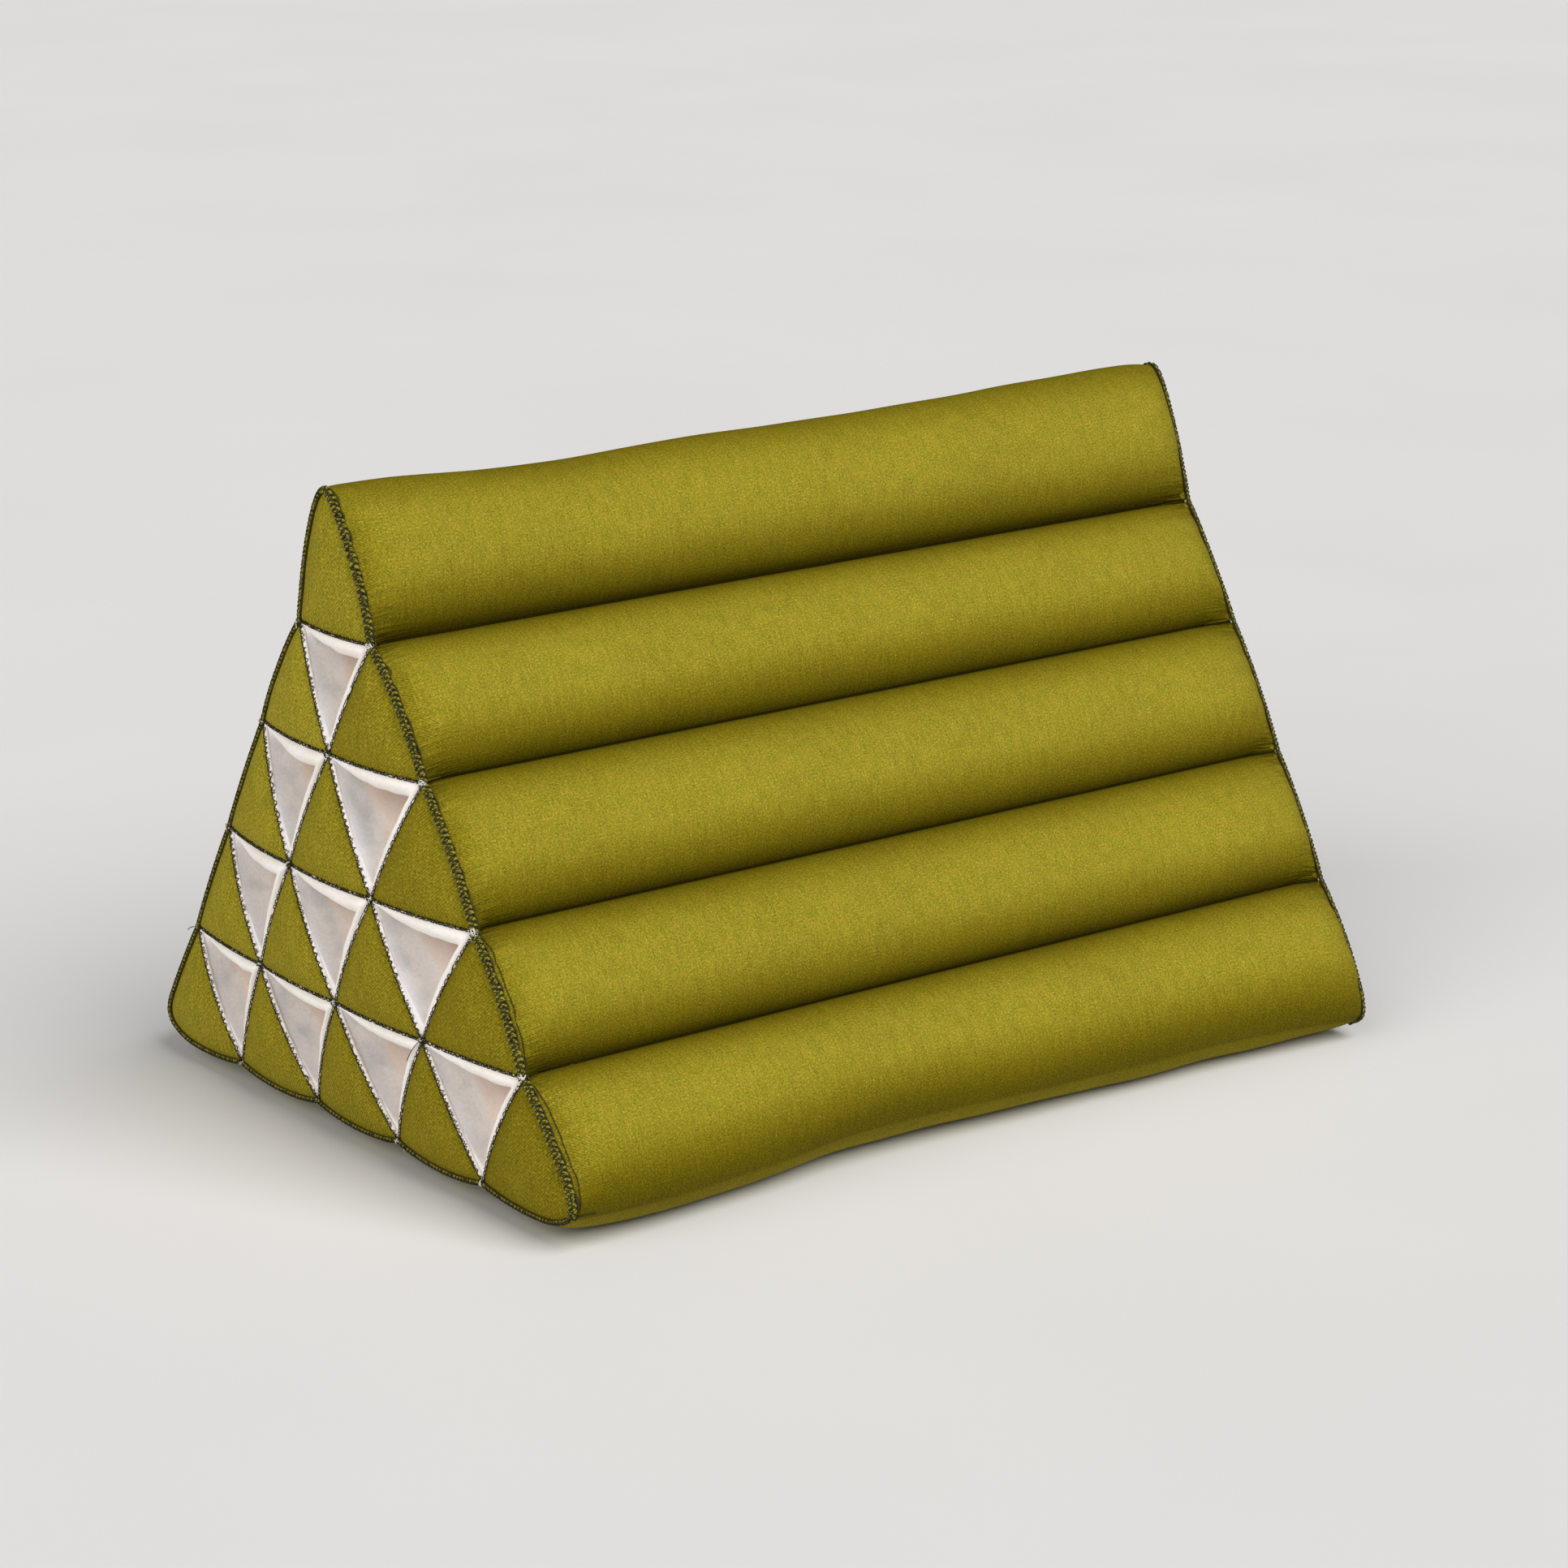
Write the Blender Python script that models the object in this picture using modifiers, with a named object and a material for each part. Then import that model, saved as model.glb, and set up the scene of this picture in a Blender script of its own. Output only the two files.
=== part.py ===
"""A triangle cushion, lying on one of its three long faces.

Fifteen stuffed tubes of triangular section lie in rows of one to five inside one cover. The cover is sewn
down between the outer tubes, so each long face has five rolls. At each end a cloth triangle closes every tube,
and the white cotton of the tubes shows in ten pockets between them.

X runs along the rolls, Y from the front face to the back and Z up from the floor. Everything is in metres.
"""

import math
from collections import namedtuple

import bpy
from mathutils import Vector

SeamRow = namedtuple("SeamRow", "height width")

# The seams. All other sizes build on them.
SEAM_LENGTH = 0.475  # from end seam to end seam, a third of the way up
# The ridge, then the foot of each row of tubes: its height over the underside, and front seam to back seam.
SEAM_ROWS = (
    SeamRow(0.290, 0.0),
    SeamRow(0.2295, 0.058),
    SeamRow(0.1750, 0.132),
    SeamRow(0.1160, 0.203),
    SeamRow(0.0585, 0.271),
    SeamRow(0.0, 0.337),
)
FLOOR_LIFT = 0.0135  # the underside's seams over the floor at the ends
UNDERSIDE_SAG = 0.002  # how much lower they lie at mid length

# The rolls and the rounded edges between the long faces.
ROLL_CROWN = 0.0145  # a roll's crest over the line between its seams
END_CROWN = 0.003  # the same at the end seam, where the cloth is drawn in
DRAW_IN = 0.014  # length over which a roll draws in
SWELL_POWER = 0.8  # below 1 a roll is blunter and its seams are sharper
RIDGE_LIFT = 0.007  # the ridge over the point where the faces' seam lines meet
RIDGE_SKEW = 0.005  # how far the ridge leans back at the left end
BASE_CORNER_LIFT = 0.001  # the two lower edges over the underside's seams
BASE_CORNER_REACH = 0.008  # how far these two stand out along Y
RIDGE_BLUNTING = 0.3  # how far the ridge is drawn towards the middle of its neighbours
BASE_BLUNTING = 0.12  # the same for the two lower edges
LINING_BLUNTING = 0.3  # the same for a pocket's corners
RIDGE_SAG = 0.001  # how much lower the ridge lies at mid length
BASE_EDGE_DRAW = 0.010  # how far the two lower edges are drawn in at mid length
BASE_EDGE_RISE = 0.002  # how much higher they lie there

# The ends.
TUBE_END = 0.029  # length of a tube's free end, and so the depth of a pocket
END_DOME = 0.011  # the end's middle over its outer seams
END_LEAN = 0.0056  # the ridge's overhang over the base at each end
CAP_CROWN = 0.003  # a cap's middle over its edges
INNER_EDGE_RISE = 0.0033  # an inner edge of a cap over its corners, along X
OUTER_EDGE_RISE = 0.0005  # the same for an edge on the cover's seam
WALL_CROWN_MOUTH = 0.003  # how far a tube's wall bows into a pocket at its mouth
WALL_CROWN_BACK = 0.008  # the same at the pocket's back

# Cloth and clearances.
GAP = 0.0003
CORNER_GAP = 0.0012  # each tube end's corners stop short of the seam corner they share
LINING_THICKNESS = 0.0012
LINING_INSET = 0.0029  # the lining's inner face from the tubes' walls
LINING_CROWN = 0.0006  # how much more the lining bows than these walls
LINING_SET_BACK = 0.0015  # the lining's rim behind the caps' edges
POCKET_FLOOR_SHARES = (0.55,)  # rings of the pocket's flat back, as shares of its size

# Steps of the meshes.
ROLL_STEPS = 5
BODY_STATIONS = (0.045, 0.065, 0.100, 0.150, 0.200)  # distances from the end seam
WALL_SHARES = (0.0, 0.45, 0.8, 1.0)  # rings of a tube end, from its back to its edge
CAP_RING_SHARES = (0.66, 0.3)  # rings on a cap, as shares of its outline
LINING_SHARES = (1.0, 0.6, 0.0)  # rings of a pocket, from its mouth to its back

ROWS = len(SEAM_ROWS) - 1
SEAM_HEIGHT, SEAM_WIDTH = SEAM_ROWS[0].height, SEAM_ROWS[-1].width
HALF_LENGTH = SEAM_LENGTH / 2
BODY_END = HALF_LENGTH - TUBE_END
APEX, FRONT_CORNER, BACK_CORNER = (0, 0), (ROWS, 0), (ROWS, ROWS)
EDGE_BLUNTING = {APEX: RIDGE_BLUNTING, FRONT_CORNER: BASE_BLUNTING, BACK_CORNER: BASE_BLUNTING}
ENDS = {"left": -1, "right": 1}


def mid_share(x):
    """1 at mid length and 0 at the end seams."""
    return max(0.0, 1 - (x / HALF_LENGTH) ** 2)


def seam_corner(row, place, x):
    """A corner of the tubes' lattice at x, as (y, z). Rows count from the ridge down, places from the front."""
    seam = SEAM_ROWS[row]
    y = seam.width * (place / row - 0.5) if row else 0.0
    z = FLOOR_LIFT + seam.height
    if (row, place) == APEX:
        y += RIDGE_SKEW * max(0.0, -x / HALF_LENGTH)
        z += RIDGE_LIFT - RIDGE_SAG * mid_share(x)
    if row == ROWS:
        z -= UNDERSIDE_SAG * mid_share(x)
    if (row, place) in (FRONT_CORNER, BACK_CORNER):
        y += math.copysign(BASE_CORNER_REACH - BASE_EDGE_DRAW * mid_share(x), y)
        z += BASE_CORNER_LIFT + BASE_EDGE_RISE * mid_share(x)
    return Vector((y, z))


def swell(share):
    """A roll's height over the line between its seams, as a share of its crown."""
    return max(0.0, 4 * share * (1 - share)) ** SWELL_POWER


def crown_at(distance):
    """The crown of a roll at a distance from its end seam."""
    drawn = math.exp(-distance / DRAW_IN)
    return ROLL_CROWN + (END_CROWN - ROLL_CROWN) * drawn


def bowed_side(start, end, crown):
    """Points from start up to end, without end, bowed to the right of the way walked."""
    along = end - start
    outward = Vector((along.y, -along.x)).normalized()
    shares = [step / ROLL_STEPS for step in range(ROLL_STEPS)]
    return [start + along * share + outward * crown * swell(share) for share in shares]


def blunted(ring, blunting):
    """The ring with some points drawn towards the middle of their neighbours: blunting is {point: share}."""
    blunt = list(ring)
    for corner, share in blunting.items():
        neighbours = (ring[corner - 1] + ring[(corner + 1) % len(ring)]) / 2
        blunt[corner] = ring[corner].lerp(neighbours, share)
    return blunt


def on_floor(point):
    """The point, or the one over it on the floor where the roll is pressed flat."""
    return Vector((point.x, max(point.y, 0.0)))


def outer_corners():
    """The seam corners round the section: down the front face, along the underside and up the back face."""
    front = [(row, 0) for row in range(ROWS)]
    underside = [(ROWS, place) for place in range(ROWS)]
    back = [(row, row) for row in range(ROWS, 0, -1)]
    return front + underside + back


def body_section(x):
    """The filled cover's outline at x."""
    crown = crown_at(HALF_LENGTH - abs(x))
    numbers = outer_corners()
    corners = [seam_corner(*number, x) for number in numbers]
    ring = []
    for index, corner in enumerate(corners):
        ring += bowed_side(corner, corners[(index + 1) % len(corners)], crown)
    ring = blunted(ring, {numbers.index(edge) * ROLL_STEPS: share for edge, share in EDGE_BLUNTING.items()})
    return [Vector((x, point.x, point.y)) for point in map(on_floor, ring)]


def end_reach(point):
    """How far along X the end's seams stand at a point (y, z) of the end."""
    up = (point.y - FLOOR_LIFT) / SEAM_HEIGHT
    back = point.x / SEAM_WIDTH + (1 - up) / 2
    front = 1 - up - back
    dome = 27 * max(up, 0) * max(back, 0) * max(front, 0)
    return HALF_LENGTH + END_LEAN * (up - 1 / 3) + END_DOME * dome


def cap_corners(row, place):
    """A tube's three seam corners: top, front and back."""
    return (row - 1, place), (row, place), (row, place + 1)


def is_outer(start, end):
    """Whether the side between two seam corners lies on the cover."""
    faces = (
        lambda number: number[1] == 0,
        lambda number: number[0] == ROWS,
        lambda number: number[0] == number[1],
    )
    return any(face(start) and face(end) for face in faces)


def tube_ring(corners, side, share):
    """A tube end's outline, from its back (share 0) to the cap's edge (share 1)."""
    x = side * (BODY_END + TUBE_END * share)
    places = [seam_corner(*number, x) for number in corners]
    middle = sum(places, Vector((0.0, 0.0))) / 3
    places = [place + (middle - place).normalized() * CORNER_GAP for place in places]
    ring, rises = [], []
    for index, start in enumerate(corners):
        end = corners[(index + 1) % 3]
        if is_outer(start, end):
            crown = crown_at(TUBE_END * (1 - share))
            rise = OUTER_EDGE_RISE
        else:
            crown = WALL_CROWN_BACK + (WALL_CROWN_MOUTH - WALL_CROWN_BACK) * share
            rise = INNER_EDGE_RISE
        ring += bowed_side(places[index], places[(index + 1) % 3], crown)
        rises += [rise * swell(step / ROLL_STEPS) for step in range(ROLL_STEPS)]
    ring = blunted(ring, {index * ROLL_STEPS: EDGE_BLUNTING.get(corners[index], 0.0) for index in range(3)})
    back = BODY_END + GAP
    points = []
    for point, rise in zip(ring, rises):
        reach = end_reach(point) + rise
        point = on_floor(point)
        points.append(Vector((back + (reach - back) * share, point.x, point.y)))
    return points


def cap_rings(corners, side):
    """A tube end's rings, from its back over its walls to the middle of its crowned cap."""
    rings = [tube_ring(corners, side, share) for share in WALL_SHARES]
    edge = rings[-1]
    middle = sum(edge, Vector()) / len(edge)
    middle.x = end_reach(middle.yz) + INNER_EDGE_RISE
    for share in CAP_RING_SHARES:
        crown = Vector((CAP_CROWN * (1 - share**2), 0, 0))
        rings.append([middle + (point - middle) * share + crown for point in edge])
    top = middle + Vector((CAP_CROWN, 0, 0))
    return rings, top


def pocket_corners(row, place):
    """A pocket's three seam corners: front, bottom and back."""
    return (row, place), (row + 1, place + 1), (row, place + 1)


def pocket_rings(corners, side):
    """The rings of a pocket's lining, from its mouth down its walls and over its back."""
    back = BODY_END + GAP + LINING_THICKNESS
    rings = []
    for share in LINING_SHARES:
        x = side * (BODY_END + TUBE_END * share)
        places = [seam_corner(*number, x) for number in corners]
        middle = sum(places, Vector((0.0, 0.0))) / 3
        crown = WALL_CROWN_BACK + (WALL_CROWN_MOUTH - WALL_CROWN_BACK) * share + LINING_CROWN
        ring = []
        for index, start in enumerate(places):
            ring += bowed_side(start, places[(index + 1) % 3], -crown)
        ring = blunted(ring, {index * ROLL_STEPS: LINING_BLUNTING for index in range(3)})
        ring = [point + (middle - point).normalized() * LINING_INSET for point in ring]
        depths = [(end_reach(point) - LINING_SET_BACK - back) * share for point in ring]
        rings.append([Vector((back + depth, point.x, point.y)) for depth, point in zip(depths, ring)])
    floor = Vector((back, middle.x, middle.y))
    for share in POCKET_FLOOR_SHARES:
        rings.append([floor + (point - floor) * share for point in rings[len(LINING_SHARES) - 1]])
    return rings, floor


def lofted(name, rings, side, close_start, tip):
    """A mesh over rings of equal length: quads between them, then lids, or a fan up to the tip."""
    count = len(rings[0])
    points = [point for ring in rings for point in ring]
    faces = []
    for row in range(len(rings) - 1):
        for step in range(count):
            after = (step + 1) % count
            low, high = row * count, (row + 1) * count
            faces.append((low + step, low + after, high + after, high + step))
    if close_start:
        faces.append(tuple(reversed(range(count))))
    last = (len(rings) - 1) * count
    if tip is None:
        faces.append(tuple(range(last, last + count)))
    else:
        points.append(tip)
        faces += [(last + step, last + (step + 1) % count, len(points) - 1) for step in range(count)]
    if side < 0:
        points = [Vector((-point.x, point.y, point.z)) for point in points]
        faces = [tuple(reversed(face)) for face in faces]
    mesh = bpy.data.meshes.new(name)
    mesh.from_pydata(points, [], faces)
    mesh.update()
    return mesh


def cloth(name, colour):
    """A matt cotton."""
    material = bpy.data.materials.new(name)
    material.use_nodes = True
    shader = material.node_tree.nodes["Principled BSDF"]
    shader.inputs["Base Color"].default_value = (*colour, 1.0)
    shader.inputs["Roughness"].default_value = 0.9
    shader.inputs["Metallic"].default_value = 0.0
    return material


def placed(mesh, material, collection):
    """An object for a mesh, in the cushion's collection."""
    mesh.materials.append(material)
    mesh.shade_smooth()
    piece = bpy.data.objects.new(mesh.name, mesh)
    collection.objects.link(piece)
    return piece


def build_body(material, collection):
    """The filled cover between the two ends' tube ends."""
    near = [HALF_LENGTH - distance for distance in BODY_STATIONS]
    stations = [BODY_END, *near, 0.0, *(-x for x in reversed(near)), -BODY_END]
    rings = [body_section(x) for x in reversed(stations)]
    placed(lofted("cushion_body", rings, 1, True, None), material, collection)


def build_caps(end, side, material, collection):
    """One end's fifteen stuffed tube ends, each with its crowned cap."""
    for row in range(1, ROWS + 1):
        for place in range(row):
            rings, top = cap_rings(cap_corners(row, place), side)
            mesh = lofted(f"cap_{end}_{row}_{place + 1}", rings, side, True, top)
            placed(mesh, material, collection)


def build_pockets(end, side, material, collection):
    """One end's ten white pockets between the tube ends."""
    for row in range(1, ROWS):
        for place in range(row):
            rings, floor = pocket_rings(pocket_corners(row, place), side)
            mesh = lofted(f"pocket_{end}_{row}_{place + 1}", rings, side, False, floor)
            piece = placed(mesh, material, collection)
            thicken = piece.modifiers.new("cloth", "SOLIDIFY")
            thicken.thickness = LINING_THICKNESS
            thicken.offset = -1.0


def build_cushion():
    for thing in list(bpy.data.objects):
        bpy.data.objects.remove(thing, do_unlink=True)
    collection = bpy.data.collections.new("triangle_cushion")
    bpy.context.scene.collection.children.link(collection)
    green = cloth("green_cotton", (0.28, 0.24, 0.02))
    white = cloth("white_cotton", (0.72, 0.68, 0.62))
    build_body(green, collection)
    for end, side in ENDS.items():
        build_caps(end, side, green, collection)
        build_pockets(end, side, white, collection)


build_cushion()
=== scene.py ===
"""The triangle cushion in full dress: filled cover, stuffed tube ends, white pockets and all its thread.

X runs along the rolls, Y from the front face to the back and Z up from the floor. Everything is in metres,
and angles are in radians, unless a name says degrees. The seams' places repeat the part's own dimensions.
"""

import math

import bpy
import numpy as np
from mathutils import Matrix, Vector, noise


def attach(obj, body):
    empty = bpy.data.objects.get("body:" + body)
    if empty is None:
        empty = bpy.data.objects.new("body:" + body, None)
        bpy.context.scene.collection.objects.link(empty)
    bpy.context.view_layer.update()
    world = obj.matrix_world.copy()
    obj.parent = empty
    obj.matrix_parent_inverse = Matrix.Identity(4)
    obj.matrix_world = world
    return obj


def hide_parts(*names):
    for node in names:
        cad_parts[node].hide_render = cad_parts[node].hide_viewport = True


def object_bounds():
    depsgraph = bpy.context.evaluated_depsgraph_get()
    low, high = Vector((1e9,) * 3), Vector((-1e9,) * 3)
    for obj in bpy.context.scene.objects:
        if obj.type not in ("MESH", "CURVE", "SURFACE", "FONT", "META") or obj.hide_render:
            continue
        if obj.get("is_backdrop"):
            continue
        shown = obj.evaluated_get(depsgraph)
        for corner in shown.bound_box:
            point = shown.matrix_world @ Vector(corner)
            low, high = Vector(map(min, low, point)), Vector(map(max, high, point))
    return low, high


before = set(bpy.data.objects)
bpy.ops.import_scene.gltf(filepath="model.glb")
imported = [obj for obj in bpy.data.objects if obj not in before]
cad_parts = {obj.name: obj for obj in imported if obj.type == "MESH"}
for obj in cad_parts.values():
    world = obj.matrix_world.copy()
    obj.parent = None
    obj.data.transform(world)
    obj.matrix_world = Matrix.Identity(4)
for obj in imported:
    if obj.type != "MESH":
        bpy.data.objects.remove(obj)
cad_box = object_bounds()

# The seams, as in the part: each row's height over the underside, and its width from front seam to back seam.
SEAM_LENGTH = 0.475
SEAM_ROWS = ((0.290, 0.0), (0.2295, 0.058), (0.1750, 0.132), (0.1160, 0.203), (0.0585, 0.271), (0.0, 0.337))
FLOOR_LIFT = 0.0135
UNDERSIDE_SAG = 0.002
RIDGE_LIFT = 0.0095
RIDGE_SKEW = 0.005
RIDGE_SAG = 0.004
RIDGE_DIP = 0.003  # a soft hollow in the ridge, towards the left end
RIDGE_DIP_PLACE = -0.135
RIDGE_DIP_LENGTH = 0.055
BASE_CORNER_LIFT = 0.001
BASE_CORNER_REACH = 0.008
BASE_NIP = 0.006  # how much more the front lower edge is drawn in at one place
BASE_NIP_RISE = 0.4  # how far it rises there, as a share of that
BASE_NIP_PLACE = -0.06
BASE_NIP_LENGTH = 0.07
BASE_EDGE_DRAW = 0.010
BASE_EDGE_RISE = 0.002
TUBE_END = 0.029
END_DOME = 0.011
END_LEAN = 0.0056
OUTER_RISE = {-1: 0.0, 1: -0.001}  # how far an outer edge bulges along X at the left and right end
EAR_REACH = 0.004  # how far the right end's front lower corner is pulled out
EAR_DROP = 0.008
EAR_TUCK = 0.005  # how far it is pulled in along X
EAR_SIZE = 0.035
BACK_TUCK = 0.003  # how far the left end's back lower corner is drawn in
CORNER_POWER = 8  # how closely these pulls keep to their end

# The rolls.
ROLL_CROWN = {"face": 0.0185, "underside": 0.0145}
ROLL_SAG = 0.0018  # how far the rolls of the two leaning faces sink
SWELL_POWER = 0.8
# How far each face's rolls stand out at the end seams, from the ridge down on the front and up on the back.
END_CROWNS = (0.0045, 0.003, 0.003, 0.003, 0.003) + (0.004,) * 5 + (0.001, 0.001, 0.001, 0.0032, 0.0045)
DRAW_IN = {"face": 0.0065, "underside": 0.010}  # how far from an end seam the rolls are drawn in
CHANNEL_DRAW = 0.004  # how far stuffing the rolls draws the channel seams in
CHANNEL_START = 0.005
ROUNDING_REACH = 0.013  # how far round the section a rounded edge reaches
ROUNDING_PASSES = 26
ROUNDING_MIDDLE = 0.3  # how strongly the edges are rounded away from the ends
ROUNDING_END = 0.03  # how far from an end they are rounded fully
FLOOR_CLEARANCE = 0.0002
# The cloth turned in behind each end: its rows of points, and how far inside the cover each one lies.
SKIRT = ((0, 0.0010), (4, 0.0014), (7, 0.0016), (9, 0.0020))

# The cover's sewn channels, gathers, tucks and dents. A start is counted from the end seam, and a clearance
# from the channel seam.
CREASE_DEPTH = 0.0035
CREASE_WIDTH = 0.0028
CREASE_POWER = 1.3
CREASE_START = 0.0008
GATHER_DEPTH = 0.0015
GATHER_PITCH = 0.0054
GATHER_RUN = 0.06
GATHER_START = 0.002
GATHER_LENGTH = 0.013
GATHER_FADE = 1.5
GATHER_CLEARANCE = 0.008
GATHER_REACH = 0.014  # how far from a channel seam the gathers show strongly in the cloth, as bumps and as painted shade
GATHER_EVERYWHERE = 0.12
TUCK_DEPTH = 0.0007
TUCK_PITCH = 0.013
TUCK_RUN = 0.05
TUCK_REACH = 0.010
TUCK_START = 0.02
TUCK_CLEARANCE = 0.002
DENT_DEPTH = 0.0011
DENT_SIZE = 0.045
DENT_START = 0.015
DENT_CLEARANCE = 0.012

# Painted shade beside a channel seam: how dark the cloth is painted, by the share of a roll's height from its
# upper seam.
PAINTED_SHADE_PLACES = (0.0, 0.08, 0.16, 0.24, 0.36, 0.58, 0.68, 0.78, 0.90, 1.0)
PAINTED_SHADE_DEPTHS = (0.95, 0.68, 0.38, 0.14, 0.0, 0.0, 0.18, 0.52, 0.88, 1.1)
PAINTED_SHADE_TURN = 0.47  # the share at which the upper seam's painted shade gives way to the lower seam's
APEX_PAINTED_SHADE = 0.75  # how strong the painted shade is beside the ridge
BASE_PAINTED_SHADE = 0.95  # and over the two lower edges, where it also starts higher up
BASE_PAINTED_SHADE_START = 0.07
END_PAINTED_SHADE = 0.5  # the least painted shade right at the end seams
# The darkest painted shade, a dark line painted on each channel seam itself.
SEAM_PAINTED_SHADE = 1.75
PAINTED_SHADE_STRENGTH = 0.55  # how much darker the cloth is painted where its painted shade is full

# Stuffing the cover, a cloth simulation.
EXTRA_CLOTH = 0.9  # how much of the cloth's full girth is gathered into the end seams
STUFFING_STEPS = 20
STUFFING_REACH = 0.006  # the furthest that a point may move
SEAM_HOLD = 0.012  # how far from a seam the cloth is held back by it
STUFFING_RULES = {
    "quality": 6,
    "mass": 0.3,
    "tension_stiffness": 18,
    "compression_stiffness": 18,
    "shear_stiffness": 6,
    "bending_stiffness": 0.4,
    "tension_damping": 8,
    "compression_damping": 8,
    "use_pressure": True,
    "uniform_pressure_force": 4.0,
}

# The tube ends.
CAP_CROWN = 0.0035
CAP_PUFF = 0.0009
CAP_PUFF_POWER = 8
CAP_UNEVEN = 0.0006
CAP_UNEVEN_SIZE = 0.02
CAP_BACK = ((0.5, 0.006), (0.90, 0.0042), (0.985, 0.0018))  # the rings behind: share of the rim, and depth
CAP_WEAVE = 0.75  # the tube ends' yarns are coarser than the cover's
CAP_ROW_PAINTED_SHADE = 0.08  # painted shade: how much darker each lower row of tube ends is painted, like the cover's painted shade
CAP_FRONT_PAINTED_SHADE = 0.5  # painted shade: how much darker a row's front tube end is painted than its back one
CAP_EVEN_PLACE = 0.4  # the place in a row, from front to back, that is painted neither darker nor lighter
# Painted shade towards each tube end's rim, rising with this power of the share of the rim.
CAP_EDGE_PAINTED_SHADE = 0.35
CAP_EDGE_POWER = 6
EDGE_BOW = 0.0002
EDGE_RISE = 0.0008
EDGE_MIDDLE = 0.8 * EDGE_RISE

# The pockets. Their three edges are the front, back and top one, and their corners front, bottom and back.
LIP_SIZES = (1.0, 1.0, 1.05, 0.82)  # how large the lips of each row's pockets are
LIP_CORNERS = ((0.15, 0.08), (0.045, 0.060), (0.030, 0.035))  # the inner corners, as shares of two edges
LIP_BOWS = (0.0012, -0.0010, 0.0020)  # how far in the lip of each edge bows
LIP_RISES = (0.30, 0.10, 0.34)  # how far a lip stands out of the end, as a share of its width
LIP_STEPS = (0.0, 0.10, 0.25, 0.42, 0.60, 0.77, 0.91, 1.0)
LIP_ROUND = 0.8
LIP_UNEVEN = 0.10
LIP_UNEVEN_SIZE = 0.007
LIP_TUCK = ((1.0, 0.0011), (0.97, 0.0028))  # the turn behind a lip: share of its width, and how far in
LINING_SINK = 0.0004
LINING_UNEVEN = 0.0006
LINING_UNEVEN_SIZE = 0.012
LINING_GAP = 0.0030  # how far the lining stays inside the cover's drawn-in seams
POCKET_DEPTH = 0.027
POCKET_SLACK = 0.004
POCKET_MIDDLE = (0.42, 0.27, 0.31)  # where the middle of a pocket's floor lies between its corners
WALL_POWER = 2.2  # how steeply the walls fall
FLOOR_POWER = 2.6  # how late they turn in to the floor
FILLING_GAP = 0.002
RIM_PAINTED_SHADE = {"front": 0.35, "back": 0.14}  # painted shade: how deep in the pocket a wall's cloth is painted to look at its top
# Painted shade in the pockets: the floor's, and the extra on the walls' upper part, from the given share of
# their height up.
FLOOR_PAINTED_SHADE = 0.45
UPPER_PAINTED_SHADE = 0.58
UPPER_PAINTED_SHADE_START = 0.22
SKYLIGHT_PLACES, SKYLIGHT_BACK = (0, 0.3, 0.8, 1), (0.3, 1, 1, 0.6)  # painted skylight: how bluish the back wall is painted along its edge
SKYLIGHT_TOP = 0.6

# The stitches on the tube ends' edges. Each edge has its fold's radius, its stitches (phase, and how far they
# swing over the green cloth and over the white), their height, and the radius of the thread along it.
EDGE_SEWING = {
    "front": (0.0011, ((0.0, 0.0016, 0.0014), (0.5, 0.0016, 0.0014)), 0.0014, 0.0001),
    "bottom": (0.0005, ((0.0, 0.0015, 0.0004), (0.37, 0.0011, 0.0003)), 0.0008, 0.0002),
    "back": (0.0005, ((0.0, 0.0010, 0.0003),), 0.0007, 0.00025),
}
FOLD_INSET = 0.6  # how far into the pocket a fold lies, as a share of its radius
FOLD_UNEVEN = 0.10
LINE_INSET = 0.35
LINE_UNEVEN = 0.0002
STITCH_PITCH = 0.0030
STITCH_STEPS = 10
STITCH_RADIUS = 0.00023
STITCH_HEIGHT = 0.0003
STITCH_UNEVEN = {"turn": (14, 0.45), "reach": (9, 0.22)}  # the steps between changes, and their size

# The braided overlock round each end.
BRAID_WIDTH = 0.0038
BRAID_PITCH = 0.0027
BRAID_SHIFT = 0.0007  # how far the braid sits towards the end
BRAID_FLOOR_REACH = 0.006  # how high over the floor the braid is pressed narrow
BRAID_FLOOR_WIDTH = 0.65
BRAID_LEAF = (0.0036, 0.0018, 0.0015)  # a loop's length, width and height
BRAID_SLANT = 0.62
BRAID_SLANT_UNEVEN = 2.2
BRAID_UNEVEN = 0.16
BRAID_COLUMN = 0.0009  # how far each of the two columns of loops lies from the middle
BRAID_LIFT = 0.0008
BED_SECTION = ((-0.5, 0.0), (-0.34, 0.5), (0.0, 0.75), (0.34, 0.5), (0.5, 0.0), (0.0, -0.6))
BED_THICKNESS = 0.0009
BORDER_PLACE = 0.55  # the thread along the braid's side towards the cover, as a share of its width
BORDER_LIFT = 0.0005
BORDER_UNEVEN = 0.0004
BORDER_RADIUS = 0.00038
BORDER_LEAST_RADIUS = 0.0002
BORDER_RADIUS_UNEVEN = 0.25
CROSS_PITCH = 0.0042  # the dark thread that crosses over the braid from side to side
CROSS_STEPS = 8
CROSS_SWING = 0.0021
CROSS_HEIGHT = 0.0018
CROSS_FALL = 0.65
CROSS_RADIUS = 0.00027
CROSS_UNEVEN = (12, 0.12)

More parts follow.
